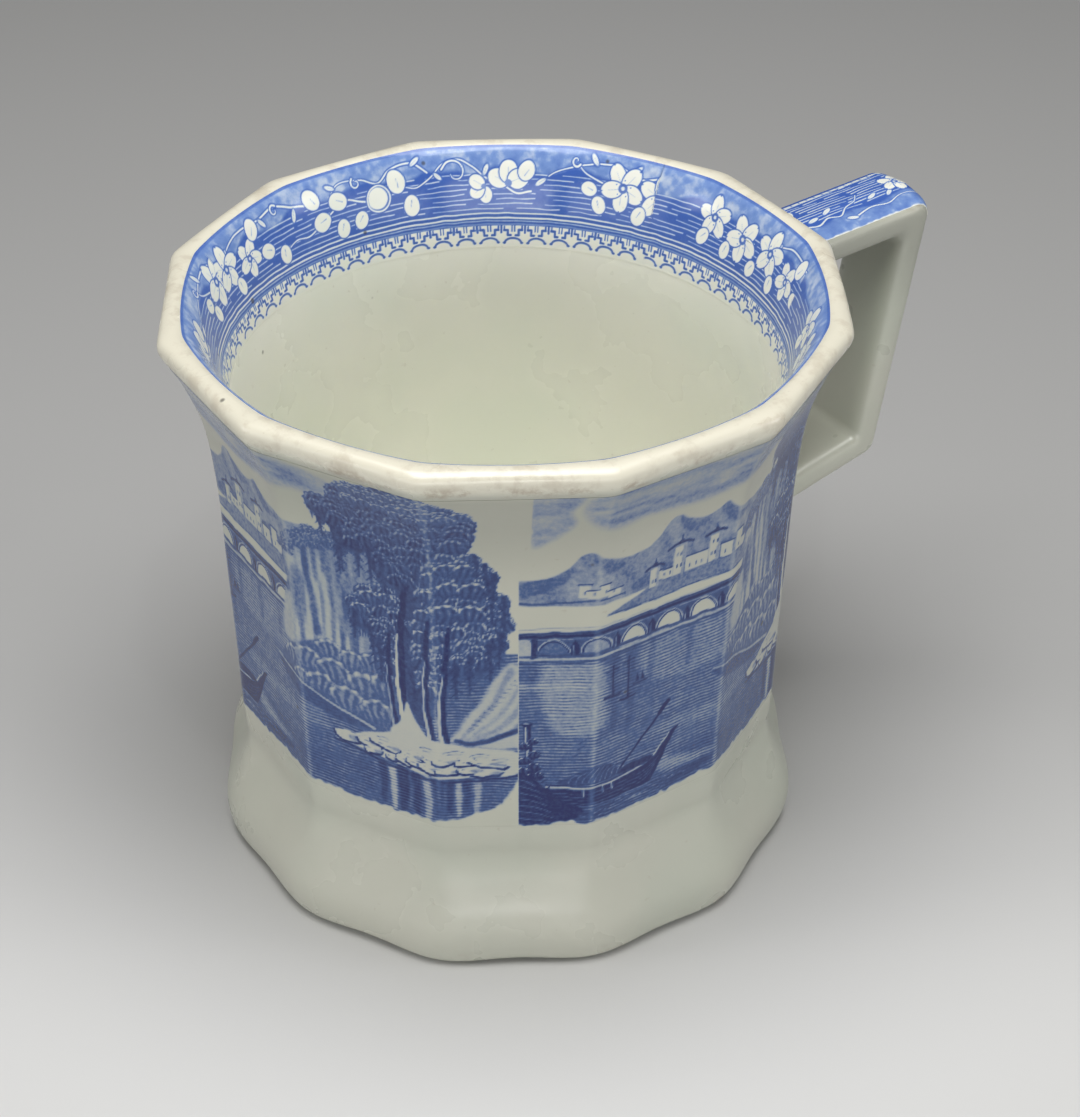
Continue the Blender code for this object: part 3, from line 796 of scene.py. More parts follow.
def draw_tower(d, u, low, wall, width, roof, storeys):
    """A plain square tower with a wide flat roof, a knob on top and dark window slits."""
    half = 0.5 * width
    d.patch(((u - half, low), (u - half, wall), (u + half, wall), (u + half, low)), 0.04, 0.08)
    d.line(((u + 0.72 * half, low), (u + 0.72 * half, wall)), 0.30 * width, 0.34)
    d.line(((u - roof, wall + 0.12), (u - 0.5 * roof, wall + 0.52), (u + 0.5 * roof, wall + 0.52),
            (u + roof, wall + 0.12)), 0.34, 0.92)
    d.patch(((u - 0.7 * half, wall + 0.5), (u, wall + 1.25), (u + 0.7 * half, wall + 0.5)), 0.88, 0.1)
    d.line(((u, wall + 1.0), (u, wall + 1.9)), 0.2, 0.85, 0.08)
    for storey in range(storeys):
        z = low + (wall - low) * (0.30 + 0.42 * storey)
        for side in (-0.35, 0.3):
            d.line(((u + side * half, z - 0.22), (u + side * half, z + 0.22)), 0.2, 0.8)


def draw_block(d, u0, u1, low, high):
    d.patch(((u0, low), (u0, high), (u1, high), (u1, low)), 0.05, 0.08)
    d.line(((u0 - 0.2, high + 0.1), (u1 + 0.2, high + 0.1)), 0.2, 0.8)
    for u in np.arange(u0 + 0.8, u1 - 0.4, 0.95):
        d.line(((u, low + 0.65), (u, low + 1.0)), 0.22, 0.7)


def draw_town(d):
    d.area(((17.4, 64.9), (18.0, 67.0), (22.0, 67.6), (28.0, 67.4), (34.0, 68.6), (36.8, 67.0),
            (37.0, 64.8)), 0.58, 0.3, share=0.7)
    for u0, u1, low, high in ((8.2, 9.6, 65.9, 68.2), (9.5, 11.4, 65.7, 67.1), (11.1, 12.4, 65.7, 67.8),
                              (12.3, 14.3, 65.3, 66.3), (20.7, 22.9, 64.9, 66.5),
                              (25.1, 28.8, 64.8, 67.2), (31.0, 33.0, 64.9, 67.3),
                              (33.6, 35.2, 64.9, 68.4), (35.2, 36.2, 64.9, 66.6)):
        draw_block(d, u0, u1, low, high)
    for tower in ((19.8, 64.0, 67.4, 1.5, 1.5, 1), (23.9, 64.8, 69.7, 2.0, 2.1, 2),
                  (29.8, 64.9, 69.6, 1.8, 1.7, 2)):
        draw_tower(d, *tower)


WATER_LEVEL = 56.4
BRIDGE_SPRING = 56.3                # height at which the arches spring
ARCH_PITCH = 6.0


def draw_water(d):
    """Ruled water over the lower part of the sheet, lighter where it catches the sky."""
    surface = ((-2.0, WATER_LEVEL), (74.0, WATER_LEVEL), (74.0, 20.0), (-2.0, 20.0))
    d.over_water = True
    window, cover = d.patch(surface, 0.56, 0.1)
    broad = lattice_noise(0.2 * d.u, d.z, 2.6, 31)
    deeper = 0.05 * broad + 0.09 * smooth_step(d.z, 40.0, 26.0)
    d.ink += np.where(d.z < WATER_LEVEL, deeper, 0.0)
    d.ruling[window] = np.maximum(d.ruling[window], cover)
    for outline, tone, share in (
            (((3.4, 53.6), (8.0, 54.4), (12.2, 53.6), (12.6, 47.0), (12.0, 42.2), (6.0, 41.6), (3.8, 46.0)),
             0.30, 0.75),
            (((18.6, 53.0), (27.0, 54.2), (36.0, 53.4), (35.0, 48.0), (27.0, 46.2), (20.0, 47.8)), 0.40, 0.7),
            (((20.0, 38.6), (31.0, 38.9), (41.0, 37.6), (42.0, 36.2), (30.0, 35.9), (22.0, 36.6)), 0.40, 0.6),
            (((21.5, 32.4), (24.0, 31.9), (29.0, 30.3), (33.0, 29.6), (30.0, 28.9), (23.0, 29.3)), 0.28, 0.7),
            (((0.0, 50.9), (5.0, 50.8), (9.0, 50.4), (9.0, 50.0), (4.0, 49.9), (0.0, 50.1)), 0.18, 0.7)):
        d.area(outline, tone, 0.9, share=share)
    # What the bridge and the town throw on the water
    for u, width, low, high, tone in ((2.0, 1.6, 51.0, 55.4, 0.62), (13.9, 1.5, 41.5, 54.6, 0.70),
                                      (16.7, 1.5, 41.0, 54.6, 0.68), (20.2, 1.2, 47.0, 54.6, 0.60),
                                      (26.8, 1.3, 48.0, 54.6, 0.58), (32.8, 1.2, 49.0, 54.6, 0.56)):
        d.stroke(((u, high), (u + 0.1, 0.5 * (low + high)), (u, low)), width, tone, 0.7 * width, 0.35,
                 share=0.75)
    d.over_water = False


def draw_bridge(d):
    """A long stone bridge of round arches, with cutwaters on its piers and a ledge along its foot."""
    d.patch(((-1.0, 60.0), (36.5, 60.4), (36.5, 56.2), (-1.0, 56.2)), 0.66, 0.08)
    d.line(((-1.0, 60.1), (18.0, 60.3), (36.5, 60.6)), 0.24, 0.10)
    d.line(((-1.0, 59.75), (18.0, 59.95), (36.5, 60.2)), 0.22, 0.85)
    d.line(((-1.0, 59.25), (18.0, 59.4), (36.5, 59.7)), 0.46, 1.0)
    d.line(((-1.0, 58.75), (18.0, 58.9), (36.5, 59.2)), 0.2, 0.2, share=0.6)
    for k in range(6):
        u = 5.0 + ARCH_PITCH * k
        high = 2.25 + 0.03 * k
        shape = [(u + 2.15 * math.cos(a), BRIDGE_SPRING + high * math.sin(a))
                 for a in np.linspace(0.0, math.pi, 13)]
        tone = (0.52, 0.38, 0.04, 0.02, 0.02, 0.04)[k]
        d.patch([(a + (a - u) * 0.14, b + 0.22 * (b - BRIDGE_SPRING) / high) for a, b in shape], 0.22,
                0.08)
        d.patch(shape, 0.98, 0.10)
        d.patch([(u + (a - u) * 0.90, BRIDGE_SPRING + (b - BRIDGE_SPRING) * 0.90) for a, b in shape],
                tone, 0.10)
        pier = u + 0.5 * ARCH_PITCH
        d.patch(((pier - 0.75, 55.9), (pier - 0.55, 57.6), (pier, 58.6), (pier + 0.55, 57.6),
                 (pier + 0.75, 55.9)), 0.95, 0.12)
        d.line(((pier - 0.28, 56.1), (pier - 0.24, 57.7)), 0.22, 0.25, 0.1)
    d.line(((0.8, 57.8), (0.9, 55.9)), 2.2, 0.22, 1.6)
    d.line(((2.3, 58.6), (2.2, 55.8)), 0.9, 0.92)
    d.line(((-1.0, 55.9), (10.0, 55.9), (36.5, 56.1)), 0.35, 0.78, share=0.8)
    d.line(((-1.0, 55.3), (9.0, 55.3), (36.5, 55.6)), 0.45, 0.16, share=0.8)
    d.line(((-1.0, 54.7), (9.0, 54.7), (36.5, 55.1)), 0.28, 0.80, share=0.8)


def draw_small_boats(d):
    for u, low, high in ((13.7, 47.3, 53.0), (16.3, 45.9, 53.6)):
        d.line(((u, low), (u, high)), 0.34, 0.98, 0.18)
        d.line(((u - 0.9, high - 1.0), (u + 0.9, high - 0.7)), 0.22, 0.9)
        d.stroke(((u - 1.2, low + 0.1), (u, low - 0.12), (u + 1.3, low + 0.1)), 0.42, 0.98, 0.25)
    for u in (17.9, 18.8):
        d.patch(((u - 0.3, 48.3), (u + 0.05, 50.0), (u + 0.45, 48.3)), 0.92, 0.1)
    d.stroke(((17.3, 48.1), (18.3, 47.9), (19.6, 48.1)), 0.3, 0.9)
    for u, z in ((8.4, 37.9), (9.2, 40.2), (9.0, 39.2)):
        d.stroke(((u - 0.4, z - 0.3), (u, z), (u + 0.5, z + 0.25)), 0.22, 0.8, 0.1)


def draw_cliff(d):
    """Wooded crag with thin falls of water, behind the trees."""
    d.area(((35.0, 50.0), (35.4, 56.0), (36.6, 61.0), (37.5, 66.0), (39.5, 70.0), (44.0, 72.0),
            (54.0, 72.0), (56.0, 50.0)), 0.44, 0.3)
    falls = lattice_noise(d.u, 0.10 * d.z, 0.75, 41)
    here = smooth_step(d.u, 34.6, 37.4) * smooth_step(d.u, 52.0, 46.0)
    here = here * smooth_step(d.z, 49.0, 53.0) * smooth_step(d.z, 72.0, 63.0)
    d.ink += here * (-0.30 * smooth_step(falls, 0.0, 0.6) + 0.14 * smooth_step(falls, 0.0, -0.6))
    d.area(((34.6, 50.5), (34.8, 54.6), (36.2, 58.4), (37.4, 58.8), (37.8, 54.0), (37.0, 50.5)), 0.20, 0.5)
    d.stroke(((40.4, 69.0), (40.9, 62.0), (41.6, 54.0)), 1.0, 0.66, 1.3, 0.4, share=0.8)
    d.stroke(((43.2, 64.5), (43.6, 58.0), (43.0, 52.0)), 0.7, 0.12, 0.9, 0.35, share=0.75)
    d.foliage(((36.6, 66.0), (38.0, 70.4), (42.0, 72.3), (47.0, 72.4), (47.0, 69.0), (41.5, 68.4)),
              0.60, 0.40, 1.2, 42)


def draw_bank(d):
    """Rounded bushes along the far bank, each with a lit rim, and the dark shore below them."""
    d.area(((33.0, 44.6), (34.0, 47.6), (37.5, 50.6), (42.0, 52.6), (47.0, 52.0), (53.0, 54.0),
            (57.0, 50.0), (57.0, 40.0), (48.0, 38.2), (42.0, 41.0), (36.0, 43.6)), 0.58, 0.3)
    for u, z, reach in ((43.2, 51.3, 2.4), (47.0, 50.4, 2.4), (50.2, 51.0, 2.3), (36.4, 47.4, 2.2),
                        (39.4, 48.4, 2.6), (43.6, 47.4, 3.0), (48.6, 46.2, 3.4), (52.4, 47.6, 2.8),
                        (41.2, 44.4, 2.7), (45.6, 43.0, 3.2), (50.6, 42.4, 3.0), (38.0, 44.8, 1.8)):
        d.clump(u, z, reach, 0.56, 0.14, strokes=8, flat=0.86, spread=0.75)
    d.area(((31.5, 44.6), (35.5, 44.9), (40.0, 43.0), (46.0, 40.6), (50.2, 39.6), (45.0, 38.6), (38.0, 40.6),
            (33.5, 42.6)), 0.74, 0.35, share=0.85)
    d.stroke(((31.6, 44.9), (37.0, 43.9), (43.0, 41.3), (50.0, 39.4)), 0.34, 0.14, 0.5, share=0.8)


def draw_trunk(d, points, width, foot_width, lit):
    """A tree trunk: dark, with a lit left side."""
    d.stroke(points, foot_width, 0.92, width)
    lit_side = [(u - 0.22 * foot_width, z) for u, z in points[:-1]]
    d.stroke(lit_side, 0.45 * foot_width, lit, 0.30 * width, 0.10)


def draw_trees(d):
    """A group of tall drooping trees on the right of the sheet."""
    canopy = ((42.7, 77.0), (43.6, 79.6), (47.6, 80.4), (48.4, 83.2), (51.4, 84.6), (54.4, 83.8),
              (56.0, 85.7), (59.4, 85.6), (61.4, 83.6), (63.6, 82.6), (66.2, 80.2), (66.4, 77.6),
              (64.6, 75.4), (65.4, 73.4), (61.0, 72.0), (57.0, 67.0), (53.0, 66.4), (50.8, 71.0),
              (47.0, 70.4), (45.6, 74.8), (44.0, 74.6))
    right = ((58.4, 67.0), (60.4, 71.4), (62.6, 73.4), (66.4, 72.8), (68.4, 70.4), (69.8, 66.0),
             (70.6, 61.5), (69.8, 57.0), (66.4, 52.6), (62.6, 52.0), (60.4, 46.0), (57.6, 50.0),
             (58.0, 60.0))
    left = ((46.9, 59.6), (47.6, 62.8), (50.6, 64.8), (54.6, 64.6), (56.0, 60.0), (55.2, 52.6),
            (52.6, 48.6), (51.4, 55.6), (48.4, 57.6))
    middle = ((55.0, 66.0), (59.6, 66.4), (60.6, 58.0), (60.0, 46.0), (57.4, 44.0), (55.6, 52.0))
    for outline, tone, hang in ((middle, 0.74, 1.2), (canopy, 0.70, 2.6), (right, 0.62, 2.4),
                                (left, 0.66, 2.2)):
        d.area(outline, tone, 0.2, hang=hang)
    d.foliage(canopy, 0.84, 0.40, 2.0, 51, 0.9, hanging=1.0, flat=0.95)
    d.foliage(((49.0, 83.4), (52.0, 84.8), (55.0, 84.2), (57.6, 86.0), (61.6, 84.2), (65.6, 81.0),
               (62.0, 79.4), (54.0, 79.6), (48.6, 80.2)), 0.72, 0.14, 1.5, 52, 1.0)
    d.foliage(left, 0.78, 0.26, 1.7, 53, 0.95, hanging=1.0, flat=1.0)
    d.foliage(right, 0.74, 0.24, 1.9, 54, 0.95, hanging=1.0, flat=1.0)
    for u, z, reach in ((60.6, 69.4, 1.9), (62.6, 71.0, 2.0), (65.0, 70.8, 2.0), (60.2, 66.2, 1.9),
                        (62.8, 67.6, 2.1), (66.0, 67.4, 2.2), (59.4, 62.6, 1.9), (62.0, 63.6, 2.3),
                        (65.6, 63.2, 2.3), (58.8, 58.8, 1.7), (50.6, 62.8, 1.9), (53.4, 63.4, 1.7),
                        (49.0, 60.2, 1.7)):
        d.clump(u, z, reach, 0.74, 0.04, strokes=8, flat=0.8, spread=0.6)
    # Hanging twigs
    random = np.random.default_rng(55)
    for u, z, drop in ((43.6, 76.4, 5.0), (45.8, 74.2, 8.4), (46.9, 74.0, 7.6), (49.6, 72.6, 6.2),
                       (51.2, 71.6, 5.6), (53.0, 70.6, 6.4), (66.2, 74.0, 4.0), (67.6, 72.0, 6.2),
                       (68.9, 70.2, 8.4), (70.1, 66.4, 7.4), (69.6, 60.0, 6.0), (68.0, 57.8, 6.4),
                       (65.6, 56.0, 6.6), (63.4, 54.6, 6.0), (48.2, 59.6, 4.6), (50.4, 58.0, 7.4),
                       (51.8, 56.0, 7.0), (57.0, 52.0, 6.8), (58.6, 50.0, 6.0)):
        lean = random.uniform(-0.4, 0.5)
        d.stroke(((u, z), (u + lean, z - 0.5 * drop), (u + 1.2 * lean, z - drop)), 0.85, 0.80, 0.22, 0.18)
        for k in range(int(drop / 0.7)):
            side = -1.0 if k % 2 else 1.0
            foot = z - 0.7 * k
            d.stroke(((u + lean * k * 0.7 / drop, foot), (u + lean + side * 0.75, foot - 0.75)), 0.26,
                     0.84, 0.10)
    # Bright feathery bush at the right, in front of the dark wood
    d.area(((62.6, 40.4), (64.0, 43.6), (66.6, 48.0), (69.0, 52.4), (71.2, 54.6), (73.4, 52.0), (73.4, 40.0)),
           0.12, 0.5)
    for start, tip, width, tone in (
            ((63.6, 41.0), (71.0, 53.4), 1.1, 0.44), ((64.6, 40.8), (72.6, 51.0), 0.8, 0.36),
            ((65.4, 40.8), (72.8, 47.4), 1.3, 0.42), ((66.6, 40.8), (72.8, 44.4), 0.8, 0.50)):
        bow = (0.5 * (start[0] + tip[0]) + 0.5, 0.5 * (start[1] + tip[1]) - 0.9)
        d.stroke((start, bow, tip), 0.5, tone, width, 0.4, share=0.75)
    for k in range(14):
        u, z = 65.0 + 0.55 * k, 43.0 + 0.72 * k
        d.stroke(((u, z), (u + 0.9, z - 0.3)), 0.2, 0.62, 0.08, share=0.7)
    draw_trunk(d, ((56.4, 39.6), (55.2, 46.0), (55.0, 52.0), (55.4, 58.0), (56.4, 67.0)), 0.9, 2.3, 0.02)
    draw_trunk(d, ((54.0, 40.4), (53.2, 46.0), (53.1, 52.0), (53.6, 58.0)), 0.6, 1.3, 0.30)
    draw_trunk(d, ((59.6, 41.0), (58.9, 47.0), (59.2, 55.0), (59.6, 62.0)), 0.6, 1.5, 0.14)
    draw_trunk(d, ((61.4, 40.6), (61.2, 47.0), (61.8, 53.0), (62.6, 61.0)), 0.6, 1.5, 0.10)
    d.area(((53.2, 39.4), (55.0, 43.0), (56.0, 46.6), (57.2, 43.4), (59.4, 40.6), (61.6, 39.6)), 0.06, 0.2)


def rock(d, u, z, reach, thick, random):
    """An angular slab with a lit top, a shaded end and a dark foot."""
    turns = np.linspace(0.0, 2.0 * math.pi, 8)[:-1] + random.uniform(-0.25, 0.25, 7)
    sizes = random.uniform(0.75, 1.12, 7)
    tilt = random.uniform(-0.15, 0.15)
    shape = [(reach * r * math.cos(a), thick * r * math.sin(a) + tilt * reach * math.cos(a))
             for a, r in zip(turns, sizes)]
    d.patch([(u + 1.12 * a, z + 1.2 * b - 0.25) for a, b in shape], 0.94, 0.12)
    d.patch([(u + a, z + b) for a, b in shape], 0.05, 0.10)
    d.patch([(u + 0.45 * a + 0.5 * reach, z + 0.5 * b - 0.12) for a, b in shape], 0.50, 0.2, share=0.75)
    d.stroke(((u - 0.5 * reach, z + 0.1), (u + 0.2 * reach, z - 0.1)), 0.12, 0.55, 0.05, 0.06, share=0.8)


def draw_ground(d):
    """Pale trodden ground under the trees, its edge built up of rocks that stand in the water."""
    d.area(((43.4, 35.2), (45.4, 36.4), (48.8, 38.3), (52.6, 39.6), (56.0, 41.2), (60.0, 40.7), (65.0, 39.6),
            (72.0, 38.4), (72.0, 34.6), (66.0, 33.8), (58.0, 33.6), (50.0, 34.6)), 0.07, 0.2)
    for (u, z), reach in zip(((46.0, 36.0), (48.4, 37.0), (51.4, 38.2), (62.6, 38.8), (66.4, 38.2),
                              (69.4, 37.4), (58.6, 38.8), (64.4, 37.0), (68.2, 36.2)),
                             (2.0, 2.4, 1.8, 3.0, 2.6, 2.4, 1.6, 2.2, 2.6)):
        d.stroke(((u - 0.5 * reach, z - 0.2), (u, z), (u + 0.5 * reach, z - 0.05)), 0.18, 0.62, 0.08)
        d.stroke(((u - 0.3 * reach, z - 0.6), (u + 0.4 * reach, z - 0.5)), 0.14, 0.55, 0.06)
    d.stroke(((63.0, 40.8), (66.0, 40.2), (69.0, 41.4), (72.0, 42.6)), 0.7, 0.80, 0.9, 0.3)
    random = np.random.default_rng(57)
    for first, last, lift in ((45.4, 71.6, 36.0), (49.6, 70.0, 34.5)):
        u = first
        while u < last:
            reach = random.uniform(1.5, 2.9)
            rise = 0.9 * math.sin(math.pi * (u - 43.0) / 29.0) + random.uniform(-0.35, 0.35)
            rock(d, u, lift + rise, reach, random.uniform(0.65, 1.15), random)
            u += reach * random.uniform(1.2, 1.8)
    d.stroke(((43.0, 34.9), (47.0, 34.4), (52.0, 33.5), (58.0, 33.0), (66.0, 33.2), (72.0, 34.2)), 0.36, 0.90)


def draw_reflections(d):
    """The trees' dark trunks and the pale gaps between them, upside down in the water."""
    d.over_water = True
    for u, low, width, tone in ((45.0, 29.0, 2.4, 0.62), (48.4, 28.0, 2.6, 0.66), (51.2, 26.5, 1.5, 0.84),
                                (54.6, 25.6, 2.0, 0.90), (56.8, 26.0, 1.6, 0.88), (60.4, 26.4, 1.5, 0.88),
                                (62.0, 27.4, 1.1, 0.82), (64.4, 28.0, 1.3, 0.78), (67.6, 29.5, 1.6, 0.66)):
        d.stroke(((u, 33.6), (u + 0.1, 30.0), (u, low)), width, tone, 0.6 * width, 0.3, share=0.85)
    for u, low, width, tone in ((52.9, 25.6, 1.1, 0.12), (58.6, 26.0, 1.3, 0.20), (63.2, 26.8, 0.9, 0.16),
                                (66.0, 27.6, 1.1, 0.24)):
        d.stroke(((u, 32.8), (u + 0.1, 29.6), (u, low)), width, tone, 0.8 * width, 0.3, share=0.8)
    d.over_water = False


def draw_boat(d):
    """A moored boat with a raised stern, a low awning amidships and one long steering oar."""
    d.area(((2.0, 28.6), (7.0, 27.4), (14.0, 27.2), (22.0, 27.9), (33.0, 28.4), (30.0, 26.6), (20.0, 25.6),
            (8.0, 25.2), (2.0, 25.6)), 0.80, 0.4, share=0.85)
    for k in range(5):
        z = 27.8 - 0.55 * k
        d.stroke(((16.0 - k, z), (21.0, z + 0.25), (27.0 - k, z - 0.05)), 0.14, 0.34, 0.08)
    hull = ((3.6, 31.6), (6.0, 31.3), (12.0, 31.0), (18.0, 31.4), (21.0, 32.4), (22.8, 34.0), (24.6, 36.4),
            (26.0, 36.9), (25.2, 35.6), (23.4, 32.4), (21.6, 29.2), (20.2, 28.2), (12.0, 28.0), (6.6, 28.6),
            (4.2, 30.2))
    d.area(hull, 0.95, 0.12)
    for k in range(4):
        drop = 0.62 * k
        d.stroke(((5.2 + 0.5 * k, 30.6 - drop), (12.0, 30.2 - drop), (19.4, 30.6 - 0.9 * drop),
                  (22.4 - 0.3 * k, 32.4 - 1.1 * drop)), 0.10, 0.55, 0.06)
    d.stroke(((4.2, 31.9), (9.0, 31.5), (14.6, 31.3), (19.0, 31.8), (21.4, 32.9), (24.2, 36.2)), 0.30, 0.04,
             0.16)
    d.stroke(((4.2, 32.3), (9.0, 31.9), (14.6, 31.7), (19.2, 32.2)), 0.20, 0.98)
    # Awning and its struts
    d.area(((6.2, 32.3), (8.0, 34.0), (10.8, 35.1), (13.4, 34.9), (15.2, 33.4), (17.0, 32.3)), 0.78, 0.12)
    for k in range(9):
        u = 7.4 + 0.95 * k
        d.stroke(((u, 32.5), (u + 0.5, 33.6), (u + 1.7, 34.9 - 0.10 * (k - 3) ** 2)), 0.10, 0.28, 0.06)
    d.area(((15.4, 32.2), (16.6, 33.2), (19.6, 33.4), (21.6, 32.9), (19.8, 32.0)), 0.90, 0.12)
    for u in (9.6, 12.6, 14.2):
        d.line(((u, 31.3), (u + 0.1, 29.9)), 0.22, 0.12)
    d.stroke(((15.6, 33.2), (19.6, 37.6), (22.4, 40.9)), 0.30, 1.0, 0.42)
    d.line(((22.2, 40.7), (23.9, 42.5)), 0.80, 1.0, 0.70)
    d.stroke(((13.4, 34.6), (15.8, 33.8), (17.6, 35.5)), 0.12, 0.9)
    for u, z in ((2.0, 26.6), (6.4, 26.0), (11.2, 26.2), (17.4, 26.4), (24.6, 27.2)):
        d.stroke(((u, z), (u + 1.6, z + 0.3), (u + 3.4, z - 0.1)), 0.16, 0.30, 0.08)


def draw_near_bank(d):
    """Dark bank at the sheet's left edge, with a mooring post that a leafy plant has grown up."""
    d.area(((0.0, 34.6), (1.6, 34.4), (3.0, 32.8), (4.6, 30.8), (6.4, 29.0), (9.6, 27.4), (8.0, 25.4),
            (4.0, 24.6), (0.0, 24.6)), 0.92, 0.15)
    for k in range(7):
        z = 33.4 - 1.25 * k
        d.stroke(((0.4, z), (1.6 + 0.3 * k, z - 0.5), (2.6 + 0.6 * k, z - 1.3)), 0.16, 0.42, 0.06)
    d.stroke(((1.7, 33.8), (1.55, 39.0), (1.3, 43.6)), 1.1, 0.96, 0.95)
    d.stroke(((1.45, 34.4), (1.3, 39.0), (1.1, 43.2)), 0.34, 0.05, 0.26)
    d.oval(1.3, 43.8, 0.8, 0.5, 1.0)
    d.oval(1.2, 43.95, 0.45, 0.2, 0.25)
    for u, z, reach in ((2.2, 35.6, 1.2), (1.0, 36.9, 1.0), (2.3, 38.0, 1.0), (0.9, 39.6, 0.85),
                        (2.1, 40.6, 0.8), (3.0, 34.0, 1.0), (0.7, 34.9, 0.9)):
        d.clump(u, z, reach, 0.94, 0.12, strokes=5, flat=0.85, spread=0.9)
    for u, z, turn in ((3.0, 33.6, 0.9), (3.6, 32.8, 0.6), (2.4, 34.4, 1.2), (4.4, 31.6, 0.8)):
        d.line(((u, z), (u + 1.0 * math.cos(turn), z + 1.2 * math.sin(turn))), 0.28, 0.95, 0.08)


def trim_sheet(d):
    """Bare clay beyond the drawing's uneven edges."""
    ragged = 0.35 * lattice_noise(d.u, d.z, 0.9, 61) + 0.25 * lattice_noise(d.u, d.z, 2.5, 62)
    foot = np.interp(d.u, (0, 2, 8, 14, 22, 30, 36, 44, 54, 60, 64, 68, 71.3),
                     (24.9, 24.5, 25.1, 24.6, 24.9, 25.9, 25.6, 25.3, 25.2, 25.6, 26.3, 28.0, 29.6))
    keep = smooth_step(d.z, foot + ragged - 0.25, foot + ragged + 0.25)
    side = 0.10 + 0.08 * ragged
    keep = keep * smooth_step(d.u, side - 0.08, side + 0.08)
    right = np.interp(d.z, (24, 28, 31, 34, 44, 52, 86), (66.0, 69.6, 70.8, 72.2, 72.4, 72.4, 72.4))
    keep = keep * smooth_step(d.u, right + ragged + 0.3, right + ragged - 0.5)
    d.ink *= keep
    d.ruling *= keep


def paint_scene(u, z):
    """Ink and ruling of the landscape, for lengths and heights in millimetres."""
    d = Drawing(u, z, 0.16)
    draw_sky(d)
    draw_hills(d)
    draw_town(d)
    draw_water(d)
    draw_bridge(d)
    draw_small_boats(d)
    draw_cliff(d)
    draw_bank(d)
    draw_reflections(d)
    draw_trees(d)
    draw_ground(d)
    draw_boat(d)
    draw_near_bank(d)
    trim_sheet(d)
    return np.clip(d.ink, 0.0, 1.0), np.clip(d.ruling, 0.0, 1.0)


# ---------------------------------------------------------------- border of the bore and the handle

BORDER_HEAVY = 0.95                 # tone of the border's deep ground
BORDER_LIGHT = 0.52                 # tone of its mottled upper edge
PAPER = 0.03                        # tone of what is left white
TOP_LINE = (89.42, 89.58)           # heights between which the dark line at the lip comes in
LONGEST_STRIP = 82.0


def polar(s, z, reach, turn):
    """The point at a distance and a direction from (s, z)."""
    return s + reach * math.cos(turn), z + reach * math.sin(turn)


def petal(d, s, z, along, across, turn, tone=PAPER):
    """One white petal with a dark outline and a faint vein, pointing outward from (s, z)."""
    u, v = polar(s, z, 0.62 * along, turn)
    d.oval(u, v, 0.62 * along + 0.16, across + 0.16, 1.0, turn, 0.09)
    d.oval(u, v, 0.62 * along, across, tone, turn, 0.09)
    d.line((polar(s, z, 0.2, turn), polar(s, z, 0.85 * along, turn)), 0.10, 0.42, 0.05, 0.06)


def blossom(d, s, z, reach, turn):
    """A five-petalled blossom with notched petals and a dotted eye."""
    for k in range(5):
        a = turn + 2.0 * math.pi * k / 5
        petal(d, s, z, reach, 0.42 * reach, a)
        d.oval(*polar(s, z, 1.22 * reach, a), 0.14, 0.12, 0.9, a, 0.07)
    d.dot(s, z, 0.26 * reach, 0.85, 0.1)
    d.dot(s, z, 0.11 * reach, 0.1, 0.08)
    for k in range(5):
        a = turn + 2.0 * math.pi * (k + 0.5) / 5
        d.dot(*polar(s, z, 0.42 * reach, a), 0.10, 0.85, 0.06)


def bud(d, s, z, reach, turn):
    """A plump bud with a shaded side and two sepals behind it."""
    for side in (-0.8, 0.8):
        petal(d, *polar(s, z, -0.6 * reach, turn), 0.8 * reach, 0.24 * reach, turn + side)
    d.oval(s, z, reach + 0.15, 0.80 * reach + 0.15, 1.0, turn, 0.09)
    d.oval(s, z, reach, 0.80 * reach, PAPER, turn, 0.09)
    d.line((polar(s, z, -0.5 * reach, turn), polar(s, z, 0.25 * reach, turn + 0.5)), 0.16, 0.55,
           0.06, 0.07)


def berry(d, s, z, reach):
    """A round fruit with a crescent of shade."""
    for growth, tone in ((0.28, 1.0), (0.12, PAPER), (-0.12, 0.8)):
        d.dot(s, z, reach + growth, tone, 0.1)
    d.dot(s + 0.12, z + 0.06, reach - 0.30, PAPER, 0.1)


def trefoil(d, s, z, reach, turn):
    for side in (-1.15, 0.0, 1.15):
        petal(d, s, z, reach, 0.52 * reach, turn + side)
    d.dot(s, z, 0.2 * reach, 0.7, 0.08)


def tendril(d, points, width, end_width=0.18):
    """A white stem that tapers, with a dark edge along it."""
    d.stroke(points, width + 0.30, 1.0, end_width + 0.22, 0.08)
    d.stroke(points, width, 0.06, end_width, 0.09)


def curl(d, s, z, reach, turn, hand):
    """A spiral end of a tendril."""
    points = [polar(s, z, reach * (1.0 - 0.075 * k), turn + hand * 0.62 * k) for k in range(10)]
    tendril(d, points, 0.32, 0.16)


def leaf(d, s, z, reach, turn):
    petal(d, s, z, reach, 0.24 * reach, turn, 0.10)


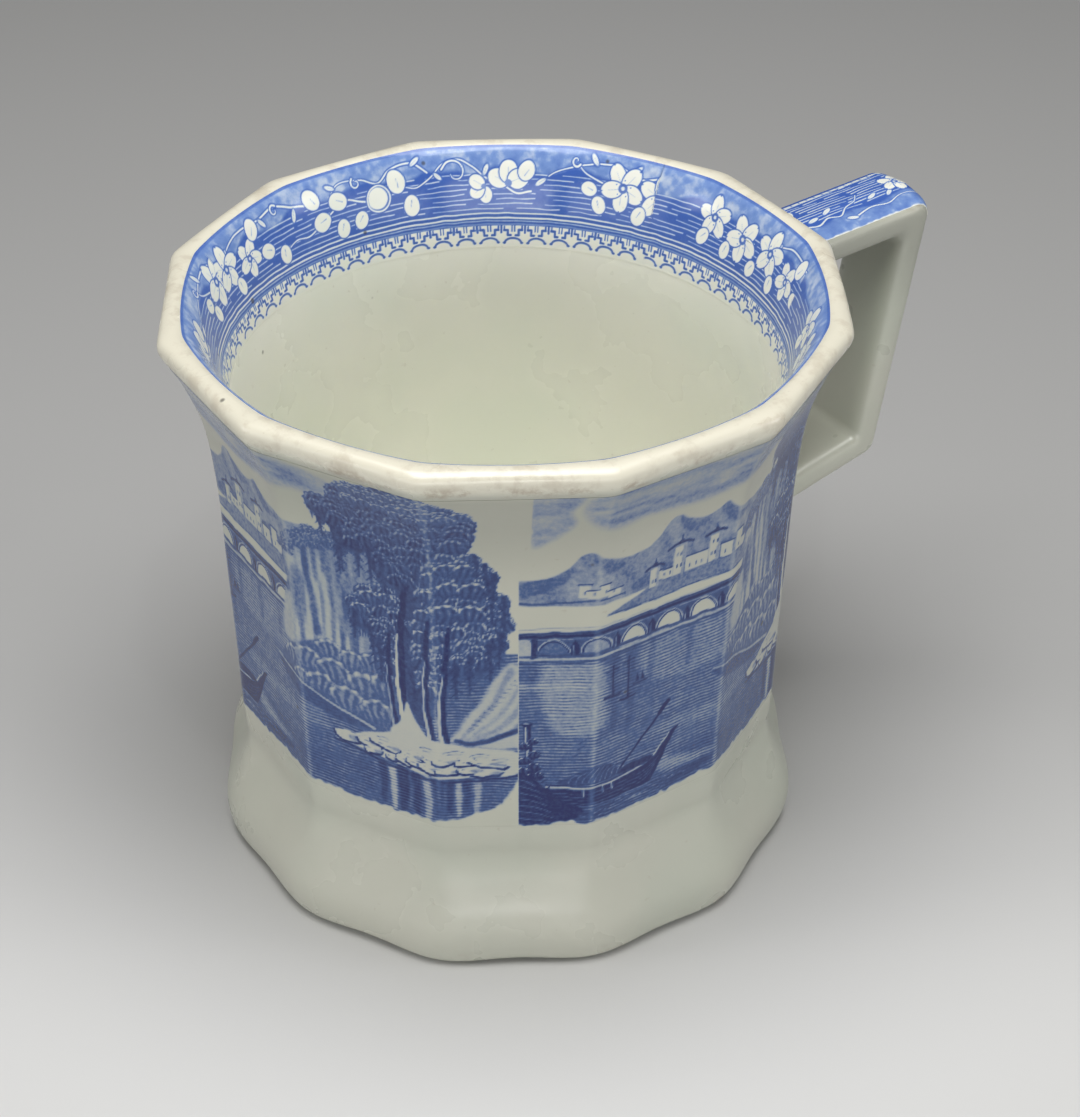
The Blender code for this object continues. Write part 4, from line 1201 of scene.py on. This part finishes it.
def border_ground(d, seed):
    """Deep ground with broken rows of fine white lines, mottled towards the lip."""
    mottle = 0.6 * lattice_noise(d.u, d.z, 0.8, 71 + seed) + 0.5 * lattice_noise(d.u, d.z, 2.2, 72 + seed)
    wave = 86.6 + 0.5 * np.sin(0.55 * d.u + seed) + 0.35 * lattice_noise(d.u, 0.0 * d.z, 2.6, 73 + seed)
    upper = smooth_step(d.z, wave - 0.35, wave + 0.35)
    d.ink[:] = BORDER_HEAVY + 0.05 * mottle
    d.ink += (BORDER_LIGHT + 0.20 * mottle - d.ink) * upper
    d.ink += 0.6 * (1.0 - d.ink) * smooth_step(d.z, *TOP_LINE)
    random = np.random.default_rng(74 + seed)
    for z in np.arange(80.9, 86.3, 0.72):
        s = random.uniform(-6.0, 0.0)
        while s < LONGEST_STRIP:
            run = random.uniform(5.0, 12.0)
            points = [(s + run * t, z + 0.06 * math.sin(1.7 * (s + run * t))) for t in (0, 0.33, 0.67, 1)]
            d.stroke(points, 0.20, 0.20, 0.12, 0.09)
            s += run + random.uniform(0.6, 3.4)


def border_fret(d):
    """White rules, and under them a white strip with a blue bracket fret and scallops."""
    below = smooth_step(d.z, 80.25, 80.05)
    d.ink += (BORDER_HEAVY - d.ink) * below
    for z, width, tone in ((80.15, 0.26, 0.12), (79.42, 0.30, 0.10), (78.95, 0.18, 0.35),
                           (78.45, 0.22, 0.55)):
        d.line(((-1.0, z), (80.0, z)), width, tone, soft=0.08)
    strip = smooth_step(d.z, 78.35, 78.15)
    d.ink += (PAPER - d.ink) * strip
    pitch, blue = 3.9, 0.92
    for k in range(int(LONGEST_STRIP / pitch)):
        s = pitch * (k + 0.35)
        middle = s + 0.5 * pitch
        # Bracket open to the foot, with feet turned out, and a small tongue inside it
        for side in (-1.0, 1.0):
            d.line(((s + 1.55 * side, 76.75), (s + 1.05 * side, 76.75), (s + 1.05 * side, 77.55),
                    (s + 0.45 * side, 77.55)), 0.36, blue, soft=0.07)
            d.line(((s + 0.5 * side, 78.1), (s + 0.5 * side, 77.7)), 0.26, blue, soft=0.07)
        d.line(((s, 78.2), (s, 77.2)), 0.36, blue, soft=0.07)
        # Pair of ticks between brackets
        for side in (-0.22, 0.22):
            d.line(((middle + side, 78.2), (middle + side, 77.35)), 0.20, blue, soft=0.07)
        # Scallop with turned-up ends along the lower edge
        arc = [(middle + 1.35 * math.cos(a), 75.55 + 0.75 * math.sin(a))
               for a in np.linspace(0.12, math.pi - 0.12, 9)]
        d.stroke(arc, 0.34, 0.88, soft=0.08)
        for side in (-1.0, 1.0):
            d.oval(middle + side * 1.45, 75.55, 0.26, 0.2, 0.9, soft=0.07)


def border_sprays(d, shift):
    """Blossoming sprays on their stems, along one strip that starts at a given length."""
    # Stems first, so that the flowers lie over them
    for width, stem in (
            (0.34, ((-4.0, 87.6), (-1.0, 88.2), (3.0, 87.2), (7.0, 88.4), (12.0, 87.8), (16.0, 86.6),
                    (17.4, 85.8))),
            (0.28, ((8.0, 85.4), (11.6, 86.6), (13.0, 87.9))),
            (0.34, ((20.0, 83.4), (22.4, 83.2), (24.6, 84.4), (27.0, 85.4), (29.0, 87.0), (31.0, 88.2),
                    (33.4, 87.8), (35.4, 86.2), (37.8, 84.9), (39.6, 85.2))),
            (0.30, ((36.0, 86.8), (38.4, 88.4), (41.6, 88.0), (44.0, 86.6), (46.4, 87.6), (50.0, 88.0),
                    (52.0, 86.8))),
            (0.34, ((43.8, 84.0), (47.0, 84.6), (50.0, 85.4), (53.6, 83.8), (57.0, 82.4), (60.0, 82.6),
                    (62.4, 81.8))),
            (0.34, ((55.4, 86.4), (59.0, 87.2), (62.0, 88.4), (65.6, 88.0), (69.6, 88.2), (73.0, 88.0),
                    (77.0, 86.8), (80.0, 86.4)))):
        tendril(d, [(s - shift, z) for s, z in stem], width)
    for s, z, reach, turn, hand in ((31.8, 86.4, 2.0, 0.3, 1.0), (62.3, 87.9, 0.8, 2.4, -1.0),
                                    (13.4, 88.1, 0.75, 3.6, 1.0), (47.4, 87.4, 0.85, 1.0, -1.0)):
        curl(d, s - shift, z, reach, turn, hand)
    for s, z, reach, turn in ((17.8, 85.4, 1.5, -0.6), (10.0, 87.9, 1.5, 0.9), (38.4, 88.0, 1.4, 2.6),
                              (51.0, 87.4, 1.4, 0.4), (58.8, 86.9, 1.5, -1.2), (66.0, 88.0, 1.4, -2.2),
                              (27.4, 85.8, 1.4, 2.0), (35.0, 86.6, 1.3, -2.4), (4.4, 87.8, 1.3, 2.4),
                              (75.0, 87.6, 1.4, -0.5)):
        leaf(d, s - shift, z, reach, turn)
    for s, z, reach, turn in ((-6.6, 84.4, 2.5, 0.9), (-0.6, 85.3, 2.9, 0.4), (5.6, 85.5, 2.9, 1.0),
                              (70.6, 84.2, 2.3, 0.9), (76.8, 85.5, 2.7, 0.4), (83.6, 84.8, 2.8, 1.0),
                              (90.2, 85.6, 2.5, 0.2)):
        blossom(d, s - shift, z, reach, turn)
    for s, z, reach, turn in ((2.4, 82.0, 1.45, -1.2), (9.2, 82.4, 1.35, -2.0), (-3.6, 81.8, 1.5, -1.9),
                              (11.0, 84.6, 1.3, 0.2), (39.0, 82.4, 1.6, -1.5), (41.0, 86.2, 1.75, 1.2),
                              (51.0, 85.6, 1.6, 0.3), (51.0, 81.6, 1.4, -1.3), (54.4, 83.5, 1.6, -0.4),
                              (55.4, 87.0, 1.6, 0.9), (62.8, 81.6, 1.4, -1.5), (68.0, 87.4, 1.5, 2.0),
                              (47.6, 82.0, 1.4, -1.0), (80.2, 81.8, 1.3, -1.2), (74.6, 81.8, 1.3, -1.8),
                              (86.6, 82.0, 1.3, -1.4), (91.6, 82.4, 1.3, -1.0), (66.2, 83.4, 1.4, 0.2)):
        bud(d, s - shift, z, reach, turn)
    berry(d, 44.2 - shift, 84.4, 1.9)
    trefoil(d, 23.6 - shift, 84.6, 2.7, 1.6)
    trefoil(d, 27.4 - shift, 84.2, 2.0, -0.6)
    bud(d, 20.8 - shift, 86.4, 1.5, 2.0)


def paint_border(s, z, shift, seed):
    """Ink of one border strip; the shift tells how far into the pattern the strip was cut."""
    d = Drawing(s, z, 0.07)
    border_ground(d, seed)
    border_fret(d)
    border_sprays(d, shift)
    frayed = 0.10 * lattice_noise(s, z, 0.5, 81)
    low = smooth_step(z, 75.05 + frayed, 75.2 + frayed)
    return np.clip(d.ink * low, 0.0, 1.0)


def paint_handle(x, y):
    """Ink of the border paper on the strap, along it from the lip and across it to the far edge."""
    d = Drawing(x, y, 0.07)
    mottle = 0.6 * lattice_noise(x, y, 0.8, 91) + 0.5 * lattice_noise(x, y, 2.0, 92)
    near = smooth_step(y, -2.2 + 0.5 * np.sin(0.6 * x), -3.0 + 0.5 * np.sin(0.6 * x))
    d.ink[:] = BORDER_HEAVY + 0.05 * mottle
    d.ink += (BORDER_LIGHT + 0.10 + 0.20 * mottle - d.ink) * near
    random = np.random.default_rng(93)
    for across in np.arange(-1.6, 4.4, 0.66):
        start = random.uniform(3.0, 8.0) if across < 2.4 else random.uniform(-1.0, 4.0)
        while start < 26.0:
            run = random.uniform(5.0, 11.0)
            d.stroke(((start, across), (start + 0.5 * run, across + 0.12), (start + run, across - 0.1)), 0.24,
                     0.12, 0.14, 0.09)
            start += run + random.uniform(0.5, 2.0)
    for start in np.arange(-1.0, 27.0, 1.5):
        d.line(((start, 4.75), (start + 0.9, 4.75)), 0.5, 0.10, soft=0.1)
    tendril(d, ((3.0, -3.2), (5.0, -2.4), (7.2, -2.9), (9.4, -2.0), (11.6, -2.6), (13.4, -1.2), (15.6, -0.4),
                (16.8, 0.9)), 0.36)
    tendril(d, ((14.0, -3.9), (17.0, -3.2), (20.0, -3.8), (23.0, -2.9), (26.0, -3.4)), 0.34)
    for s, z, reach, turn in ((6.2, -1.6, 1.7, 0.3), (9.4, -0.9, 1.7, 0.5), (12.0, -3.6, 1.6, -0.3),
                              (17.8, -1.2, 1.6, 0.4), (21.0, -2.0, 1.5, 0.7)):
        leaf(d, s, z, reach, turn)
    blossom(d, 1.6, 0.4, 2.2, 0.5)
    blossom(d, 24.2, 0.6, 2.1, 1.1)
    bud(d, 4.9, 2.3, 1.25, 0.8)
    bud(d, 2.6, 3.9, 1.0, 0.4)
    side = np.minimum(y - y.min(), y.max() - y) + 0.12 * lattice_noise(x, y, 0.7, 94)
    return np.clip(d.ink * smooth_step(side, 0.0, 0.25), 0.0, 1.0)


# ---------------------------------------------------------------- printed skins

PRINT_LIFT = 0.045                  # how far a skin's face stands off the clay, in millimetres
PRINT_DEPTH = 0.15                  # how far its hidden back lies below the clay's surface
BACK_ROWS = 30


def surface_normals(points):
    along = np.gradient(points, axis=1)
    up = np.gradient(points, axis=0)
    normal = np.cross(along, up)
    return normal / np.linalg.norm(normal, axis=-1, keepdims=True)


def make_skin(name, node, points, outward, ink, material, ruling=None):
    """A closed thin skin: a fine printed face, and a coarse back hidden in the clay."""
    normals = surface_normals(points) * outward
    rows, columns = points.shape[:2]
    face = points + normals * PRINT_LIFT * MM
    picks = np.unique(np.linspace(0, rows - 1, BACK_ROWS).round().astype(int))
    back = (points - normals * PRINT_DEPTH * MM)[picks]
    vertices = np.concatenate([face.reshape(-1, 3), back.reshape(-1, 3)])
    base = rows * columns
    flip = outward < 0
    quads = np.concatenate([grid_faces(rows, columns, flip=flip),
                            grid_faces(len(picks), columns, first=base, flip=not flip)])
    rim = []
    for front_row, back_row in ((0, 0), (rows - 1, len(picks) - 1)):
        for c in range(columns - 1):
            a, b = front_row * columns + c, front_row * columns + c + 1
            edge = [a, base + back_row * columns + c, base + back_row * columns + c + 1, b]
            rim.append(edge if (front_row == 0) != flip else edge[::-1])
    for c in (0, columns - 1):
        for k, (low, high) in enumerate(zip(picks, picks[1:])):
            front = [r * columns + c for r in range(low, high + 1)]
            edge = front + [base + (k + 1) * columns + c, base + k * columns + c]
            rim.append(edge if (c == 0) != flip else edge[::-1])
    mesh = mesh_from_arrays(name, vertices, quads, rim)
    hidden = np.zeros(len(vertices) - base)
    add_values(mesh, "ink", np.concatenate([ink.ravel(), hidden]))
    if ruling is not None:
        add_values(mesh, "ruling", np.concatenate([ruling.ravel(), hidden]))
    mark_sharp(mesh, 45)
    finish_piece(name, mesh, material, node)


OUTER_RADIUS = 43.0                 # radius at which print lengths are measured outside
BORDER_RADIUS = 42.0


def node_azimuths(node, middle):
    """First and last azimuth of a CAD print, unwrapped round a middle azimuth."""
    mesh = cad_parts[node].data
    around = [math.degrees(math.atan2(v.co.y, v.co.x)) for v in mesh.vertices]
    around = [middle + (a - middle + 180.0) % 360.0 - 180.0 for a in around]
    return min(around), max(around)


def print_grid(node, middle, radius, spacing, overlap, top=None):
    """Azimuths, heights and lengths along a print, in degrees and millimetres."""
    first, last = node_azimuths(node, middle)
    low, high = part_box(node)
    per_degree = math.radians(1.0) * radius
    first -= 0.5 * overlap / per_degree
    length = (last - first) * per_degree + overlap
    low, high = low.z / MM / SIZE, high.z / MM / SIZE if top is None else top
    along = np.linspace(0.0, length, int(length / spacing[0]) + 1)
    heights = np.linspace(low, high, int((high - low) / spacing[1]) + 1)
    along, heights = np.meshgrid(along, heights)
    return first + along / per_degree, heights, along


# Middle azimuth of each print
OUTER_SHEETS = {"outer_print_right": -72.0, "outer_print_left": -168.0, "outer_print_back": 96.0}
BORDER_STRIPS = {"inner_border_print_right": -71.0, "inner_border_print_left": -173.0,
                 "inner_border_print_back": 79.0, "inner_border_print_handle_side": 1.5}
SHEET_SPACING = (0.22, 0.22)        # distance between a print's points, along it and up it
STRIP_SPACING = (0.155, 0.105)
SHEET_OVERLAP, STRIP_OVERLAP = 0.5, 0.45
STRIP_TOP = 89.75                   # the border paper runs up to the lip's inner edge
# How far into the pattern each strip was cut
STRIP_SHIFTS = {"inner_border_print_right": 30.0, "inner_border_print_left": 4.0,
                "inner_border_print_back": 0.0, "inner_border_print_handle_side": 66.0}


def thin_at_corners(azimuth, ink):
    """Ink wears thin where the paper bends over a corner between two flats."""
    from_corner = np.abs((azimuth % PITCH) - 0.5 * PITCH) * math.radians(1.0) * OUTER_RADIUS
    return ink * (1.0 - 0.30 * np.exp(-(from_corner / 0.45) ** 2))


def make_prints(scene_ink, border_ink):
    for node, middle in OUTER_SHEETS.items():
        azimuth, height, along = print_grid(node, middle, OUTER_RADIUS, SHEET_SPACING,
                                            SHEET_OVERLAP)
        points = surface_points(azimuth, height, OUTSIDE)
        ink, ruling = paint_scene(along, height)
        make_skin(node.replace("outer_print", "scene_sheet"), node, points, 1,
                  thin_at_corners(azimuth, ink), scene_ink, ruling)
    for k, (node, middle) in enumerate(BORDER_STRIPS.items()):
        azimuth, height, along = print_grid(node, middle, BORDER_RADIUS, STRIP_SPACING,
                                            STRIP_OVERLAP, STRIP_TOP)
        points = surface_points(azimuth, height, BORE)
        ink = paint_border(along, height, STRIP_SHIFTS[node], 10 * k)
        make_skin(node.replace("inner_border_print", "border_strip"), node, points, -1, ink,
                  border_ink)


HANDLE_PRINT_LEAD, HANDLE_PRINT_TAIL = 2.6, 3.4  # how far the paper runs past the CAD print's ends
HANDLE_PRINT_MARGIN = 0.75          # bare clay along each edge of the strap


def make_handle_print(material):
    """The border paper cut to cover the top of the strap, from the lip out over the crest."""
    low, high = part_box("handle_print")
    path, outward = handle_stations((170, 70, 46), 28)
    start, end = low.x / MM / SIZE - HANDLE_PRINT_LEAD, high.x / MM / SIZE + HANDLE_PRINT_TAIL
    keep = (path[:, 0] >= start) & (path[:, 0] <= end) & (path[:, 1] > 82.0)
    path, outward = path[keep], outward[keep]
    half = STRAP_HALF_WIDTH - HANDLE_PRINT_MARGIN
    across = np.linspace(-half, half, 90)
    outline = strap_outline(512)
    outline = outline[outline[:, 1] > 0]
    outline = outline[np.argsort(outline[:, 0])]
    out = np.interp(across, outline[:, 0], outline[:, 1])
    section = np.stack([across, out], -1)
    points = strap_points(path, outward, np.repeat(section[None], len(path), 0)).transpose(1, 0, 2)
    faces = points[len(across) // 2]
    places = np.concatenate([[0.0], np.cumsum(np.linalg.norm(np.diff(faces, axis=0), axis=1))]) / MM
    along, side = np.meshgrid(places, across)
    ink = paint_handle(along, side)
    make_skin("handle_border", "handle_print", points, 1, ink, material)


# ---------------------------------------------------------------- camera, lights and floor

CAMERA_AZIMUTH = -121.55            # the handle points along azimuth 0
CAMERA_DISTANCE = 0.31167
CAMERA_HEIGHT = 0.26447
CAMERA_PITCH = 35.43
CAMERA_YAW = 0.936
CAMERA_ROLL = 0.234
CAMERA_LENS = 80.8


def add_camera():
    turn = math.radians(CAMERA_AZIMUTH)
    around = Matrix.Rotation(turn + math.pi / 2, 3, "Z")
    pitch, yaw, roll = (math.radians(a) for a in (CAMERA_PITCH, CAMERA_YAW, CAMERA_ROLL))
    forward = around @ Vector((math.sin(yaw) * math.cos(pitch), math.cos(yaw) * math.cos(pitch),
                               -math.sin(pitch)))
    level = around @ Vector((math.cos(yaw), -math.sin(yaw), 0.0))
    upright = level.cross(forward)
    right = level * math.cos(roll) + upright * math.sin(roll)
    up = upright * math.cos(roll) - level * math.sin(roll)
    data = bpy.data.cameras.new("camera")
    data.lens = CAMERA_LENS
    data.sensor_width = 36.0
    data.clip_start = 0.01
    camera = bpy.data.objects.new("camera", data)
    pose = Matrix((right, up, -forward)).transposed().to_4x4()
    pose.translation = (CAMERA_DISTANCE * math.cos(turn), CAMERA_DISTANCE * math.sin(turn),
                        CAMERA_HEIGHT)
    camera.matrix_world = pose
    bpy.context.scene.collection.objects.link(camera)
    bpy.context.scene.camera = camera


WARM_WHITE, COOL_WHITE = (1.0, 0.99, 0.97), (0.98, 0.99, 1.0)
# Floor colours for painted light: darker away from the camera, brighter near it
FLOOR_FAR_PAINTED_SHADE, FLOOR_NEAR_PAINTED_LIGHT = (0.470, 0.470, 0.468, 1.0), (0.720, 0.720, 0.715, 1.0)
FLOOR_REACH = 3.0
FLOOR_LEVEL = -0.0001               # just under the foot


def add_light(name, azimuth, distance, height, size, power, colour=(1.0, 1.0, 1.0), aim=0.04,
              tall=None):
    """A soft light at an azimuth round the mug, in degrees, pointed at the mug."""
    turn = math.radians(azimuth)
    data = bpy.data.lights.new(name, "AREA")
    data.shape = "RECTANGLE"
    data.size = size
    data.size_y = tall or size
    data.energy = power
    data.color = colour
    light = bpy.data.objects.new(name, data)
    light.location = (distance * math.cos(turn), distance * math.sin(turn), height)
    light.rotation_euler = (Vector((0.0, 0.0, aim)) - light.location).to_track_quat("-Z", "Y").to_euler()
    bpy.context.scene.collection.objects.link(light)


def add_stage():
    """Pale floor with painted light, brighter towards the camera, and the lights: one overhead, two at the
    sides, three low windows and a lamp.
    """
    shader = Shader("pale_floor", Roughness=0.6)
    place = shader.place()
    turn = math.radians(CAMERA_AZIMUTH)
    towards = shader.plus(shader.times(shader.axis(place, 0), math.cos(turn)),
                          shader.times(shader.axis(place, 1), math.sin(turn)))
    # Painted light on the floor: brighter towards the camera
    near = shader.ramp(towards, -0.03, 0.075)
    shader.link(shader.mix(near, FLOOR_FAR_PAINTED_SHADE, FLOOR_NEAR_PAINTED_LIGHT), shader.surface.inputs["Base Color"])
    mesh = bpy.data.meshes.new("floor")
    corners = [(x * FLOOR_REACH, y * FLOOR_REACH, FLOOR_LEVEL)
               for x, y in ((-1, -1), (1, -1), (1, 1), (-1, 1))]
    mesh.from_pydata(corners, [], [(0, 1, 2, 3)])
    mesh.materials.append(shader.material)
    floor = bpy.data.objects.new("floor", mesh)
    bpy.context.scene.collection.objects.link(floor)

    world = bpy.data.worlds.new("studio")
    world.use_nodes = True
    background = world.node_tree.nodes["Background"].inputs
    background["Color"].default_value = (0.95, 0.98, 1.0, 1.0)
    background["Strength"].default_value = 0.05
    bpy.context.scene.world = world
    bpy.context.scene.view_settings.view_transform = "Standard"

    view = CAMERA_AZIMUTH
    add_light("overhead", view, 0.05, 0.60, 0.40, 3.1, WARM_WHITE, 0.0)
    add_light("side_left", view - 80.0, 0.80, 0.36, 0.25, 0.9, WARM_WHITE)
    add_light("side_right", view + 80.0, 0.80, 0.36, 0.25, 0.8, COOL_WHITE)
    for turn, power in ((-44.0, 1.2), (2.0, 2.4), (48.0, 0.8)):
        add_light("window", view + turn, 1.10, 0.24, 0.76, power, tall=0.24)
    add_light("lamp", view + 14.0, 0.50, 1.0, 0.04, 0.35)


def main():
    add_camera()
    add_stage()
    clay = body_material()
    make_wall(clay)
    make_floor_disc(clay)
    make_inner_angle(clay)
    make_handle(clay)
    make_slip_fillet("glazed_upper_joint", "handle_upper_slip", HANDLE_RUN[0], HANDLE_RUN[1], clay)
    make_slip_fillet("glazed_lower_joint", "handle_lower_slip", HANDLE_RUN[3], HANDLE_RUN[2], clay)
    scene_ink = print_material("scene_print", SCENE_DEEP, SCENE_LIGHT, SCENE_GRAIN, True)
    border_ink = print_material("border_print", BORDER_DEEP, BORDER_PALE, BORDER_GRAIN, False)
    make_prints(scene_ink, border_ink)
    make_handle_print(border_ink)


main()
